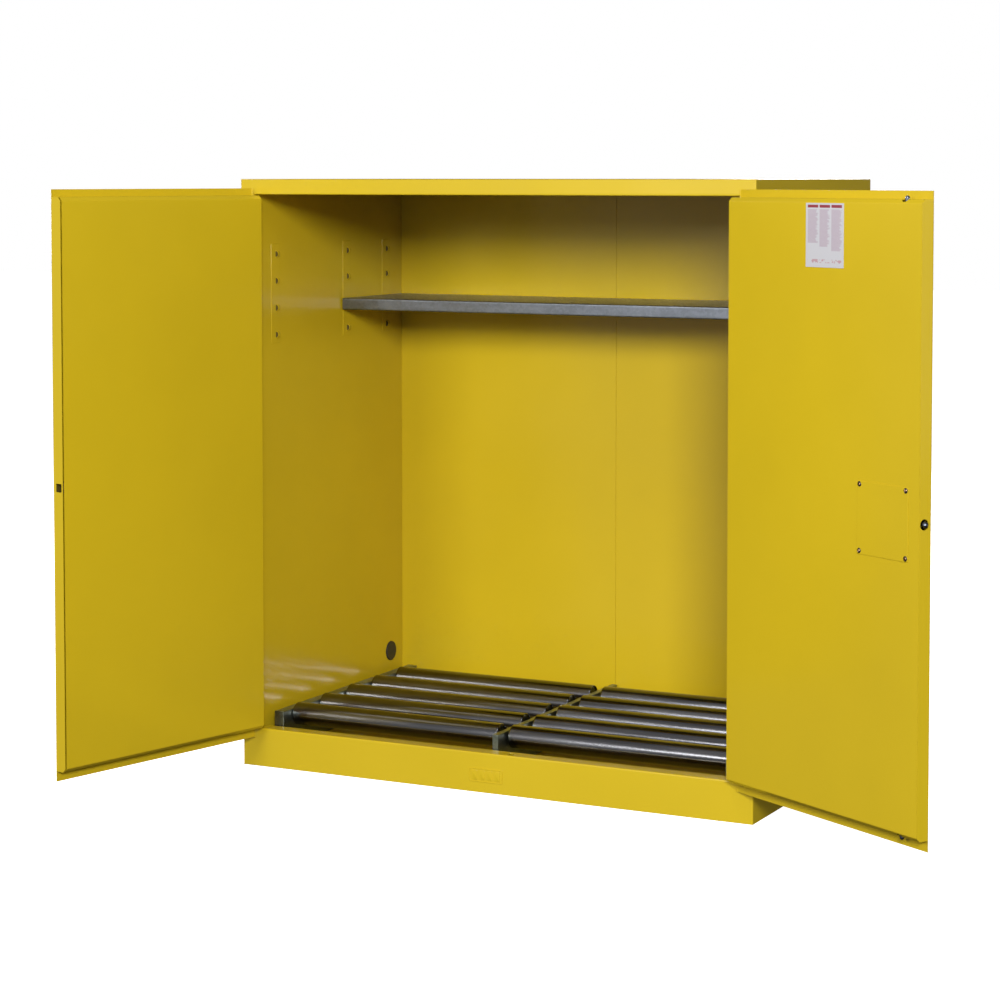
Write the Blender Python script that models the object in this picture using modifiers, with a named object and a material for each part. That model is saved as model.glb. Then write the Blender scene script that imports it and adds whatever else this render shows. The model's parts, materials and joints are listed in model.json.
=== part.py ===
"""Two-door flammable storage cabinet for drums: double-walled sheet steel, shown with both doors open."""

from math import atan2, cos, pi, radians, sin, tan

import bmesh
import bpy
from mathutils import Matrix, Vector

# Frame: metres, +Z up, front towards -Y, origin under the middle of the cabinet body.

# Cabinet body
WIDTH = 1.536
DEPTH = 0.890
HEIGHT = 1.651
WALL = 0.042  # outer face to inner face of a double wall
SHEET = 0.0015
BEND = 0.0025  # outer radius of a fold
FIT = 0.0003  # gap between fixed pieces
OVERSHOOT = 0.01  # cutters run this far past what they cut
EMBED = 0.001  # pieces that a Boolean joins overlap by this
POST_RETURN = 0.025
HEADER_HEIGHT = 0.043
HEADER_DEPTH = 0.045
SILL_HEIGHT = 0.108
SILL_DEPTH = 0.048
SILL_DROP = 0.056
NAME_PLATE = (0.100, 0.037)
NAME_PLATE_THICKNESS = 0.0012
NAME_PLATE_HEIGHT = 0.047

# Spill sump and base
SUMP_FLOOR = 0.045
SUMP_RIM = 0.050
BASE_RAIL_HEIGHT = 0.020
BASE_RAIL_WIDTH = 0.060
BASE_RAIL_INSET = 0.065  # from the front or back face to the rail's middle
FOOT_INSET = 0.078  # from the side face to the foot's axis
FOOT_PAD_RADIUS = 0.016
FOOT_PAD_HEIGHT = 0.006
FOOT_STEM_RADIUS = 0.005
FOOT_HEADROOM = 0.0015  # stem's end to the sump while the foot is wound in
FOOT_CLEARANCE = 0.002
FOOT_LIFT = 0.0005  # pad above the floor while it is wound in

# Doors
DOOR_OPEN = {-1: radians(103.7), 1: radians(149.7)}  # angle from closed, left and right
HINGE_INSET = 0.0018  # axis inside the post's inner face
DOOR_GAP = 0.0024  # between the doors when both are closed
DOOR_THICKNESS = 0.037
DOOR_CLEARANCE = 0.004  # door box to sill
DOOR_TOP_CLEARANCE = 0.003  # door box to header
LAP_TOP = 0.017  # skin over the header
LAP_BOTTOM = 0.024  # skin over the plinth
LINER_CHAMFER = 0.009
LINER_RETURN = 0.0025  # liner's folded edge stops this far from the skin's outer face

# Piano hinges
BARREL_RADIUS = 0.004
BARREL_CLEARANCE = 0.001  # to the door's hinge edge
PIN_RADIUS = 0.00175
PIN_CLEARANCE = 0.00035
LEAF_THICKNESS = 0.0013
LEAF_WIDTH = 0.028
KNUCKLES = 10
KNUCKLE_GAP = 0.0006

# Three-point latch in the right door
LATCH_HEIGHT = 0.854
LATCH_SETBACK = 0.067  # spindle to the door's free edge
LATCH_ROOM = 0.015  # bolts' axes to the door's inner face
ROD_RADIUS = 0.006
ROD_THROW = 0.009  # rod tip beyond the door box
BOLT_RADIUS = 0.008
BOLT_THROW = 0.010  # centre bolt's tip beyond the free edge
BOLT_HOLE_RADIUS = 0.013
ROD_HOLE_RADIUS = 0.0105
STRIKE_HOLE_RADIUS = 0.009
STRIKE_SQUARE = 0.022
SPINDLE_RADIUS = 0.0035
CAM_THICKNESS = 0.003
CAM_OFFSET = 0.009  # bolts' axes to the cam's outer side
CRANK = 0.010  # spindle to each cam pin
CAM_PIN_RADIUS = 0.0025
CAM_PIN_LENGTH = 0.006
CAM_MARGIN = 0.003  # metal outside a cam pin
PLATE_THICKNESS = 0.0025
PLATE_GAP = 0.0015  # cam to the rods' plates
PLATE_MARGIN = 0.002  # metal beside a slot
SHOULDER_HEIGHT = 0.016
MOTION_GAP = 0.0017  # between latch pieces that pass each other
SLOT_CLEARANCE = 0.0007
STEP_LENGTH = 0.008  # block that joins the centre bolt to its plate
STEP_TRIM = 0.002
TIP_SHARE = 0.995  # radius of a rod's rounded tip, as a share of the rod's
LATCH_OPENING = (0.150, 0.145)
COVER_SIZE = (0.180, 0.175)
COVER_THICKNESS = 0.0012
COVER_OFFSET = (-0.061, -0.004)  # cover's middle from the spindle, along the door and up
LABEL_SIZE = (0.140, 0.155)
LABEL_FROM_HINGE = 0.309
LABEL_FROM_TOP = 0.011
LABEL_THICKNESS = 0.0004

# Lever handle
ROSE_RADIUS = 0.032
ROSE_THICKNESS = 0.008
HUB_RADIUS = 0.016
HUB_LENGTH = 0.020
LEVER_LENGTH = 0.120
LEVER_WIDTH = 0.022
LEVER_THICKNESS = 0.010
LEVER_ROUNDING = 0.003
LOCK_RADIUS = 0.009
LOCK_SOCKET = 0.012
LOCK_STAND = 0.002
KEYWAY_WIDTH = 0.002
KEYWAY_HEIGHT = 0.008
KEYWAY_DEPTH = 0.004

# Shelf and its standards
SHELF_DROP = 0.310  # ceiling to the shelf's top
SHELF_DEPTH = 0.363
SHELF_REAR_GAP = 0.003
SHELF_END_GAP = 0.004
SHELF_FLANGE = 0.034
SHELF_HEM = 0.010
FRONT_STANDARD_INSET = 0.113  # cabinet front to the first standard's middle
SHELF_STANDARD_INSET = 0.031  # shelf's front edge to the second standard's middle
REAR_STANDARD_INSET = 0.099  # inner back to the third standard's middle
STANDARD_WIDTH = 0.046
STANDARD_RAISE = 0.002
STANDARD_BELOW = 0.112  # under the shelf's top
STANDARD_ABOVE = 0.169
TAB_PITCH = 0.0762
TAB_ROWS = (-1, 0, 1, 2)  # counted from the row that carries the shelf
TAB_HEIGHT = 0.024
TAB_RADIUS = 0.010

# Drum rollers
ROLLER_RADIUS = 0.03175
ROLLER_WALL = 0.003
ROLLER_HEIGHT = 0.131
ROLLER_ROWS = 5
ROLLER_FRONT_GAP = 0.082  # sill's back to the first axle
ROLLER_REAR_GAP = 0.118  # last axle to the inner back
ROLLER_END_GAP = 0.0025
AXLE_RADIUS = 0.006
AXLE_CLEARANCE = 0.0005
AXLE_OVERHANG = 0.003
RAIL_WIDTH = 0.030
RAIL_ABOVE_AXLE = 0.017
RAIL_SIDE_GAP = 0.026  # inner side wall to the side rail
RAIL_END_GAP = 0.008

# Vents and earthing stud
VENT_FROM_BACK = 0.115
LOW_VENT_HEIGHT = 0.200  # in the left side
HIGH_VENT_DROP = 0.201  # in the right side, below the top
VENT_RADIUS = 0.029
VENT_CLEARANCE = 0.0008
VENT_BORE = 0.025
VENT_FLANGE_RADIUS = 0.038
VENT_FLANGE = 0.003
VENT_REACH = 0.004  # inner end past the inner wall
VENT_BAFFLE = 0.002
CAP_RADIUS = 0.034
CAP_THICKNESS = 0.007
CAP_STUB = 0.014
STUD_FROM_FRONT = 0.085
STUD_HEIGHT = 0.060
STUD_RADIUS = 0.004
STUD_HEAD_RADIUS = 0.0075
STUD_HEAD = 0.005
STUD_LENGTH = 0.012

# Places that follow from the sizes above
FRONT = -DEPTH / 2
BACK = DEPTH / 2
SIDE = WIDTH / 2
INNER_SIDE = SIDE - WALL
INNER_BACK = BACK - WALL
CEILING = HEIGHT - WALL
WALL_FOOT = SHEET + FIT
WALL_HEAD = HEIGHT - SHEET - FIT
HEADER_UNDERSIDE = HEIGHT - HEADER_HEIGHT
SILL_BACK = FRONT + SILL_DEPTH
HINGE_X = INNER_SIDE - HINGE_INSET
HINGE_Y = FRONT - BARREL_RADIUS
DOOR_SIDE_GAP = BARREL_RADIUS + BARREL_CLEARANCE  # axis to the door's hinge edge
DOOR_WIDTH = HINGE_X - DOOR_GAP / 2
BOX_BOTTOM = SILL_HEIGHT + DOOR_CLEARANCE
BOX_TOP = HEADER_UNDERSIDE - DOOR_TOP_CLEARANCE
SKIN_BOTTOM = SILL_HEIGHT - LAP_BOTTOM
SKIN_TOP = HEADER_UNDERSIDE + LAP_TOP
FOOT_STEM_LENGTH = SUMP_FLOOR - FOOT_HEADROOM - FOOT_LIFT - FOOT_PAD_HEIGHT
SPINDLE_U = DOOR_WIDTH - LATCH_SETBACK
LATCH_DEPTH = DOOR_THICKNESS - LATCH_ROOM
CAM_DEPTH = LATCH_DEPTH - CAM_OFFSET
CAM_RADIUS = CRANK + CAM_PIN_RADIUS + CAM_MARGIN
BOLT_TRAVEL = 2 * CRANK * sin(pi / 4)
STRIKE_X = HINGE_X - SPINDLE_U
STRIKE_Y = HINGE_Y + LATCH_DEPTH
RAIL_FOOT = SUMP_FLOOR + SHEET + FIT
RAIL_TOP = ROLLER_HEIGHT + RAIL_ABOVE_AXLE
RAIL_X = INNER_SIDE - RAIL_SIDE_GAP - RAIL_WIDTH / 2  # side rail's middle
ROLLER_LENGTH = RAIL_X - RAIL_WIDTH - 2 * ROLLER_END_GAP
ROLLER_FRONT = SILL_BACK + ROLLER_FRONT_GAP
ROLLER_PITCH = (INNER_BACK - ROLLER_REAR_GAP - ROLLER_FRONT) / (ROLLER_ROWS - 1)
SHELF_TOP = CEILING - SHELF_DROP
SHELF_BACK = INNER_BACK - SHELF_REAR_GAP
SHELF_FRONT = SHELF_BACK - SHELF_DEPTH
STANDARD_COLUMNS = (
    FRONT + FRONT_STANDARD_INSET,
    SHELF_FRONT + SHELF_STANDARD_INSET,
    INNER_BACK - REAR_STANDARD_INSET,
)
VENT_PLACES = {  # (y, z) on the left and right side
    -1: (BACK - VENT_FROM_BACK, LOW_VENT_HEIGHT),
    1: (BACK - VENT_FROM_BACK, HEIGHT - HIGH_VENT_DROP),
}

YELLOW = (0.62, 0.42, 0.012)
STEEL = (0.30, 0.30, 0.31)
ZINC = (0.45, 0.47, 0.46)
BLACK = (0.02, 0.02, 0.02)
PAPER = (0.62, 0.60, 0.64)
FINISHES = {
    "paint": (YELLOW, 0.38, 0.0),
    "steel": (STEEL, 0.32, 1.0),
    "zinc": (ZINC, 0.45, 1.0),
    "black": (BLACK, 0.45, 0.0),
    "paper": (PAPER, 0.55, 0.0),
}


# ---- helpers ----


def clear_scene():
    for thing in list(bpy.data.objects):
        bpy.data.objects.remove(thing, do_unlink=True)


def new_collection(name):
    collection = bpy.data.collections.new(name)
    bpy.context.scene.collection.children.link(collection)
    return collection


def new_material(name, finish):
    color, roughness, metallic = FINISHES[finish]
    material = bpy.data.materials.new(name + "_finish")
    material.use_nodes = True
    shader = material.node_tree.nodes["Principled BSDF"]
    shader.inputs["Base Color"].default_value = (*color, 1.0)
    shader.inputs["Roughness"].default_value = roughness
    shader.inputs["Metallic"].default_value = metallic
    material.diffuse_color = (*color, 1.0)
    return material


def object_from(name, mesh_builder, finish, parent=None):
    """Links a new mesh object: a part when it has a finish, else a cutter or a piece that a Boolean joins."""
    mesh = bpy.data.meshes.new(name)
    mesh_builder.to_mesh(mesh)
    mesh_builder.free()
    thing = bpy.data.objects.new(name, mesh)
    thing.parent = parent
    if finish:
        parts.objects.link(thing)
        mesh.materials.append(new_material(name, finish))
    else:
        cutters.objects.link(thing)
        thing.hide_render = True
        thing.display_type = "WIRE"
    return thing


def add_box(builder, low, high):
    size = [b - a for a, b in zip(low, high)]
    middle = [(a + b) / 2 for a, b in zip(low, high)]
    place = Matrix.Translation(middle) @ Matrix.Diagonal((*size, 1.0))
    bmesh.ops.create_cube(builder, size=1.0, matrix=place)


def box(name, low, high, finish=None, parent=None):
    builder = bmesh.new()
    add_box(builder, low, high)
    return object_from(name, builder, finish, parent)


def turn_to(axis):
    """Rotation that takes +Z to the named axis."""
    return {
        "X": Matrix.Rotation(pi / 2, 4, "Y"),
        "Y": Matrix.Rotation(-pi / 2, 4, "X"),
        "Z": Matrix.Identity(4),
    }[axis]


def add_rod(builder, radius, start, length, axis="Z", sides=16):
    """A cylinder from start, along the axis for the length, with a flat side's middle on a main direction."""
    spin = Matrix.Rotation(pi / sides, 4, "Z")
    place = Matrix.Translation(start) @ turn_to(axis) @ Matrix.Translation((0, 0, length / 2)) @ spin
    bmesh.ops.create_cone(
        builder,
        cap_ends=True,
        segments=sides,
        radius1=radius,
        radius2=radius,
        depth=length,
        matrix=place,
    )


def rod(name, radius, start, length, axis="Z", sides=16, finish=None, parent=None):
    builder = bmesh.new()
    add_rod(builder, radius, start, length, axis, sides)
    return object_from(name, builder, finish, parent)


def rounded(path, radius, steps=2):
    """The path with each inner corner replaced by an arc of the radius."""
    points = [Vector(path[0])]
    for before, corner, after in zip(path, path[1:], path[2:]):
        corner = Vector(corner)
        to_before = (Vector(before) - corner).normalized()
        to_after = (Vector(after) - corner).normalized()
        half_angle = to_before.angle(to_after) / 2
        middle = corner + (to_before + to_after).normalized() * radius / sin(half_angle)
        first = corner + to_before * radius / tan(half_angle) - middle
        last = corner + to_after * radius / tan(half_angle) - middle
        start = atan2(first.y, first.x)
        sweep = (atan2(last.y, last.x) - start + pi) % (2 * pi) - pi
        for step in range(steps + 1):
            angle = start + sweep * step / steps
            points.append(middle + radius * Vector((cos(angle), sin(angle))))
    points.append(Vector(path[-1]))
    return points


# Each axis maps a flat outline and a distance along the axis to a place:
# outlines are (y, z) along X, (z, x) along Y and (x, y) along Z.
ALONG = {
    "X": lambda a, b, c: (c, a, b),
    "Y": lambda a, b, c: (b, c, a),
    "Z": lambda a, b, c: (a, b, c),
}


def bent_sheet(name, path, span, axis, finish, parent=None):
    """Folded sheet: the path is its outer face, walked with the outside on the right."""
    place = ALONG[axis]
    builder = bmesh.new()
    points = [builder.verts.new(place(p.x, p.y, span[0])) for p in rounded(path, BEND)]
    edges = [builder.edges.new(pair) for pair in zip(points, points[1:])]
    grown = bmesh.ops.extrude_edge_only(builder, edges=edges)["geom"]
    moved = [v for v in grown if isinstance(v, bmesh.types.BMVert)]
    bmesh.ops.translate(builder, verts=moved, vec=place(0.0, 0.0, span[1] - span[0]))
    thing = object_from(name, builder, finish, parent)
    thick = thing.modifiers.new("Thickness", "SOLIDIFY")
    thick.thickness = SHEET
    thick.offset = 1
    thick.use_even_offset = True
    return thing


def outline_solid(name, outline, span, axis, parent):
    """A cutter: a flat outline, closed, carried along the axis."""
    place = ALONG[axis]
    builder = bmesh.new()
    corners = [builder.verts.new(place(a, b, span[0])) for a, b in outline]
    face = builder.faces.new(corners)
    grown = bmesh.ops.extrude_face_region(builder, geom=[face])["geom"]
    moved = [v for v in grown if isinstance(v, bmesh.types.BMVert)]
    bmesh.ops.translate(builder, verts=moved, vec=place(0.0, 0.0, span[1] - span[0]))
    bmesh.ops.recalc_face_normals(builder, faces=builder.faces)
    return object_from(name, builder, None, parent)


def turned(name, profile, finish, closed=False, steps=16):
    """A profile of (radius, height) pairs, outer side top to bottom, spun about Z by a Screw modifier."""
    builder = bmesh.new()
    points = [builder.verts.new((r, 0.0, z)) for r, z in profile]
    ends = points[1:] + points[:1] if closed else points[1:]
    for pair in zip(points, ends):
        builder.edges.new(pair)
    thing = object_from(name, builder, finish)
    spin = thing.modifiers.new("Spin", "SCREW")
    spin.steps = steps
    spin.render_steps = steps
    spin.use_merge_vertices = True
    spin.merge_threshold = 0.00001
    return thing


def boolean(thing, other, operation):
    change = thing.modifiers.new(other.name, "BOOLEAN")
    change.operation = operation
    change.solver = "EXACT"
    change.object = other
    return thing


def cut(thing, cutter):
    return boolean(thing, cutter, "DIFFERENCE")


def join(thing, other):
    return boolean(thing, other, "UNION")


def pivot(name, location, angle=0.0, parent=None):
    """An empty on a joint's axis."""
    empty = bpy.data.objects.new(name, None)
    empty.location = location
    empty.rotation_euler = (0.0, 0.0, angle)
    empty.parent = parent
    parts.objects.link(empty)
    return empty


def mirrored(side, path):
    """A path drawn for the left side, or its mirror image walked backwards for the right."""
    return path if side < 0 else [(-x, y) for x, y in reversed(path)]


# ---- cabinet body ----


def outer_side(side, name):
    path = [(-SIDE, BACK), (-SIDE, FRONT), (-INNER_SIDE, FRONT), (-INNER_SIDE, FRONT + POST_RETURN)]
    panel = bent_sheet(name, mirrored(side, path), (WALL_FOOT, WALL_HEAD), "Z", "paint")
    y, z = VENT_PLACES[side]
    start = (side * SIDE - OVERSHOOT, y, z)
    return cut(panel, rod(name + "_vent_hole", VENT_RADIUS + VENT_CLEARANCE, start, 2 * OVERSHOOT, "X", 20))


def inner_side(side, name):
    """Inner wall sheet with three raised standards and their shelf tabs."""
    inner, outer = side * INNER_SIDE, side * (INNER_SIDE + SHEET)
    low = (min(inner, outer), FRONT + POST_RETURN + FIT, RAIL_FOOT)
    high = (max(inner, outer), INNER_BACK + SHEET, CEILING - FIT)
    panel = box(name, low, high, "paint")
    strips = bmesh.new()
    tabs = bmesh.new()
    raised = side * (INNER_SIDE - STANDARD_RAISE)
    rooted = side * (INNER_SIDE + SHEET / 2)
    for y in STANDARD_COLUMNS:
        add_box(
            strips,
            (min(raised, rooted), y - STANDARD_WIDTH / 2, SHELF_TOP - STANDARD_BELOW),
            (max(raised, rooted), y + STANDARD_WIDTH / 2, SHELF_TOP + STANDARD_ABOVE),
        )
        for row in TAB_ROWS:
            top = SHELF_TOP - SHEET - FIT + row * TAB_PITCH
            add_rod(tabs, TAB_RADIUS, (raised, y, top - TAB_HEIGHT), TAB_HEIGHT, "Z", 8)
    # Only the half of each tab on the room's side is kept.
    bmesh.ops.bisect_plane(
        tabs,
        geom=tabs.verts[:] + tabs.edges[:] + tabs.faces[:],
        plane_co=(side * INNER_SIDE, 0.0, 0.0),
        plane_no=(side, 0.0, 0.0),
        clear_outer=True,
    )
    bmesh.ops.holes_fill(tabs, edges=tabs.edges, sides=0)
    bmesh.ops.recalc_face_normals(tabs, faces=tabs.faces)
    join(panel, object_from(name + "_strips", strips, None))
    join(panel, object_from(name + "_tabs", tabs, None))
    y, z = VENT_PLACES[side]
    start = (side * INNER_SIDE - 2 * OVERSHOOT, y, z)
    return cut(panel, rod(name + "_vent_hole", VENT_RADIUS + VENT_CLEARANCE, start, 4 * OVERSHOOT, "X", 20))


def header_rail():
    path = [
        (FRONT, WALL_HEAD),
        (FRONT, HEADER_UNDERSIDE),
        (FRONT + HEADER_DEPTH, HEADER_UNDERSIDE),
    ]
    reach = INNER_SIDE - FIT
    rail = bent_sheet("header_rail", path, (-reach, reach), "X", "paint")
    start = (STRIKE_X, STRIKE_Y, HEADER_UNDERSIDE - OVERSHOOT)
    return cut(rail, rod("header_strike_hole", STRIKE_HOLE_RADIUS, start, 2 * OVERSHOOT))


def front_plinth():
    path = [
        (SILL_BACK, SILL_HEIGHT - SILL_DROP),
        (SILL_BACK, SILL_HEIGHT),
        (FRONT, SILL_HEIGHT),
        (FRONT, WALL_FOOT),
    ]
    reach = INNER_SIDE - FIT
    plinth = bent_sheet("front_plinth", path, (-reach, reach), "X", "paint")
    start = (STRIKE_X, STRIKE_Y, SILL_HEIGHT - OVERSHOOT)
    return cut(plinth, rod("sill_strike_hole", STRIKE_HOLE_RADIUS, start, 2 * OVERSHOOT))


def name_plate():
    half_width, half_height = NAME_PLATE[0] / 2, NAME_PLATE[1] / 2
    face = FRONT - FIT
    low = (-half_width, face - NAME_PLATE_THICKNESS, NAME_PLATE_HEIGHT - half_height)
    high = (half_width, face, NAME_PLATE_HEIGHT + half_height)
    return box("blank_name_plate", low, high, "paint")


def sump_pan():
    """Open tray under the rollers: a box less its hollow."""
    outer_x = INNER_SIDE - FIT
    front, back = SILL_BACK + FIT, INNER_BACK - FIT
    rim = SUMP_FLOOR + SUMP_RIM
    pan = box("sump_pan", (-outer_x, front, SUMP_FLOOR), (outer_x, back, rim), "paint")
    low = (SHEET - outer_x, front + SHEET, SUMP_FLOOR + SHEET)
    high = (outer_x - SHEET, back - SHEET, rim + OVERSHOOT)
    return cut(pan, box("sump_hollow", low, high))


def base_panel():
    """Floor sheet with two hat rails that carry the levelling feet."""
    panel = box("base_panel", (-SIDE, FRONT, 0.0), (SIDE, BACK, SHEET), "paint")
    half = BASE_RAIL_WIDTH / 2
    reach = SIDE - WALL - FIT - SHEET
    top = SHEET + BASE_RAIL_HEIGHT
    for y in (FRONT + BASE_RAIL_INSET, BACK - BASE_RAIL_INSET):
        path = [(y + half, SHEET / 2), (y + half, top), (y - half, top), (y - half, SHEET / 2)]
        join(panel, bent_sheet("base_rail", path, (-reach, reach), "X", None))
        for x in (FOOT_INSET - SIDE, SIDE - FOOT_INSET):
            pad = rod("pad_hole", FOOT_PAD_RADIUS + FOOT_CLEARANCE, (x, y, -OVERSHOOT / 2), OVERSHOOT)
            stem = rod("stem_hole", FOOT_STEM_RADIUS + FIT, (x, y, top - OVERSHOOT / 2), OVERSHOOT)
            cut(cut(panel, stem), pad)
    return panel


def body_shell():
    outer_side(-1, "outer_left_side")
    outer_side(1, "outer_right_side")
    inner_side(-1, "inner_left_side")
    inner_side(1, "inner_right_side")
    across = SIDE - SHEET - FIT
    box("outer_back", (-across, BACK - SHEET, WALL_FOOT), (across, BACK, WALL_HEAD), "paint")
    box("roof_panel", (-SIDE, FRONT, HEIGHT - SHEET), (SIDE, BACK, HEIGHT), "paint")
    inside = INNER_SIDE - FIT
    low, high = (-inside, INNER_BACK, RAIL_FOOT), (inside, INNER_BACK + SHEET, CEILING - FIT)
    box("inner_back", low, high, "paint")
    ceiling_front = FRONT + HEADER_DEPTH + FIT
    low, high = (-INNER_SIDE, ceiling_front, CEILING), (INNER_SIDE, INNER_BACK + SHEET, CEILING + SHEET)
    box("inner_ceiling", low, high, "paint")
    header_rail()
    front_plinth()
    name_plate()
    sump_pan()
    base_panel()


def levelling_foot(name, x, y):
    """Foot with its origin on its own axis; it winds down out of the base."""
    pad_top = FOOT_LIFT + FOOT_PAD_HEIGHT
    profile = [
        (0.0, pad_top + FOOT_STEM_LENGTH),
        (FOOT_STEM_RADIUS, pad_top + FOOT_STEM_LENGTH),
        (FOOT_STEM_RADIUS, pad_top),
        (FOOT_PAD_RADIUS, pad_top),
        (FOOT_PAD_RADIUS, FOOT_LIFT),
        (0.0, FOOT_LIFT),
    ]
    foot = turned(name, profile, "zinc")
    foot.location = (x, y, 0.0)


def levelling_feet():
    for word_y, y in (("front", FRONT + BASE_RAIL_INSET), ("rear", BACK - BASE_RAIL_INSET)):
        for word_x, x in (("left", FOOT_INSET - SIDE), ("right", SIDE - FOOT_INSET)):
            levelling_foot(f"levelling_foot_{word_y}_{word_x}", x, y)


# ---- vents and earthing stud ----


def face_outward(thing, side, y, z):
    """Puts a turned piece, drawn with +Z outwards, on the cabinet's side."""
    thing.location = (side * SIDE, y, z)
    thing.rotation_euler = (0.0, side * pi / 2, 0.0)


def vent(side, word):
    """Flanged tube through the wall, closed by a screen disc inside and a plug outside."""
    y, z = VENT_PLACES[side]
    inner_end = -(WALL + VENT_REACH)
    flange = FIT + VENT_FLANGE
    body = [
        (0.0, inner_end + VENT_BAFFLE),
        (VENT_BORE, inner_end + VENT_BAFFLE),
        (VENT_BORE, flange),
        (VENT_FLANGE_RADIUS, flange),
        (VENT_FLANGE_RADIUS, FIT),
        (VENT_RADIUS, FIT),
        (VENT_RADIUS, inner_end),
        (0.0, inner_end),
    ]
    tube = turned(word + "_vent", body, "black", steps=20)
    face_outward(tube, side, y, z)
    cap = [
        (0.0, flange + FIT + CAP_THICKNESS),
        (CAP_RADIUS, flange + FIT + CAP_THICKNESS),
        (CAP_RADIUS, flange + FIT),
        (VENT_BORE - 2 * FIT, flange + FIT),
        (VENT_BORE - 2 * FIT, flange + FIT - CAP_STUB),
        (0.0, flange + FIT - CAP_STUB),
    ]
    plug = turned(word + "_vent_cap", cap, "black", steps=20)
    face_outward(plug, side, y, z)


def earthing_stud():
    y, z = FRONT + STUD_FROM_FRONT, STUD_HEIGHT
    panel = bpy.data.objects["outer_left_side"]
    cut(panel, rod("stud_hole", STUD_RADIUS + FIT, (-SIDE - OVERSHOOT, y, z), 2 * OVERSHOOT, "X", 12))
    shank_end = -SIDE + STUD_LENGTH
    head = -SIDE - FIT - STUD_HEAD
    stud = rod("earthing_stud", STUD_HEAD_RADIUS, (head, y, z), STUD_HEAD, "X", 6, "steel")
    start = (head + STUD_HEAD / 2, y, z)
    join(stud, rod("stud_shank", STUD_RADIUS, start, shank_end - start[0], "X", 12))


# ---- drum rollers ----


def roller_rail(name, x):
    """Inverted channel with a hole in both webs for each axle."""
    half = RAIL_WIDTH / 2
    path = [(RAIL_FOOT, x - half), (RAIL_TOP, x - half), (RAIL_TOP, x + half), (RAIL_FOOT, x + half)]
    ends = (SILL_BACK + RAIL_END_GAP, INNER_BACK - RAIL_END_GAP)
    rail = bent_sheet(name, path, ends, "Y", "zinc")
    holes = bmesh.new()
    for row in range(ROLLER_ROWS):
        start = (x - RAIL_WIDTH, ROLLER_FRONT + row * ROLLER_PITCH, ROLLER_HEIGHT)
        add_rod(holes, AXLE_RADIUS + AXLE_CLEARANCE, start, 2 * RAIL_WIDTH, "X", 12)
    return cut(rail, object_from(name + "_holes", holes, None))


def roller(name, x, y):
    """Hollow roller spun about its own axis, which lies along X."""
    half = ROLLER_LENGTH / 2
    bore = AXLE_RADIUS + AXLE_CLEARANCE
    inside = ROLLER_RADIUS - ROLLER_WALL
    profile = [
        (ROLLER_RADIUS, half),
        (ROLLER_RADIUS, -half),
        (bore, -half),
        (bore, ROLLER_WALL - half),
        (inside, ROLLER_WALL - half),
        (inside, half - ROLLER_WALL),
        (bore, half - ROLLER_WALL),
        (bore, half),
    ]
    drum = turned(name, profile, "steel", closed=True)
    drum.location = (x, y, ROLLER_HEIGHT)
    drum.rotation_euler = (0.0, pi / 2, 0.0)


def roller_deck():
    for name, x in (("left", -RAIL_X), ("centre", 0.0), ("right", RAIL_X)):
        roller_rail(name + "_roller_rail", x)
    middle = RAIL_X / 2
    reach = RAIL_X + RAIL_WIDTH / 2 + AXLE_OVERHANG
    for row in range(ROLLER_ROWS):
        y = ROLLER_FRONT + row * ROLLER_PITCH
        start = (-reach, y, ROLLER_HEIGHT)
        rod(f"roller_axle_{row + 1}", AXLE_RADIUS, start, 2 * reach, "X", 12, "steel")
        roller(f"roller_left_{row + 1}", -middle, y)
        roller(f"roller_right_{row + 1}", middle, y)


# ---- shelf ----


def shelf():
    """Galvanised half-depth shelf, folded down and hemmed at the front and back."""
    low = SHELF_TOP - SHELF_FLANGE
    path = [
        (SHELF_BACK - SHELF_HEM, low),
        (SHELF_BACK, low),
        (SHELF_BACK, SHELF_TOP),
        (SHELF_FRONT, SHELF_TOP),
        (SHELF_FRONT, low),
        (SHELF_FRONT + SHELF_HEM, low),
    ]
    reach = INNER_SIDE - SHELF_END_GAP
    bent_sheet("shelf", path, (-reach, reach), "X", "zinc")


# ---- doors ----


def hinge_leaf(name, side, plate, first, parent):
    """One leaf: a plate between two distances from the axis plane, with every second knuckle."""
    pitch = (BOX_TOP - BOX_BOTTOM) / KNUCKLES
    tang = BARREL_RADIUS + 2 * FIT
    near, far = sorted(-side * u for u in plate)
    leaf = box(name, (near, tang, BOX_BOTTOM), (far, LEAF_WIDTH, BOX_TOP), "paint", parent)
    barrels = bmesh.new()
    tangs = bmesh.new()
    for index in range(first, KNUCKLES, 2):
        low = BOX_BOTTOM + index * pitch + KNUCKLE_GAP / 2
        high = low + pitch - KNUCKLE_GAP
        add_rod(barrels, BARREL_RADIUS, (0.0, 0.0, low), high - low, "Z", 12)
        add_box(tangs, (near, 0.0, low + FIT), (far, tang + 3 * FIT, high - FIT))
    join(leaf, object_from(name + "_barrels", barrels, None, parent))
    join(leaf, object_from(name + "_tangs", tangs, None, parent))
    bore = PIN_RADIUS + PIN_CLEARANCE
    start = (0.0, 0.0, BOX_BOTTOM - OVERSHOOT)
    length = BOX_TOP - BOX_BOTTOM + 2 * OVERSHOOT
    return cut(leaf, rod(name + "_bore", bore, start, length, "Z", 12, None, parent))


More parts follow.
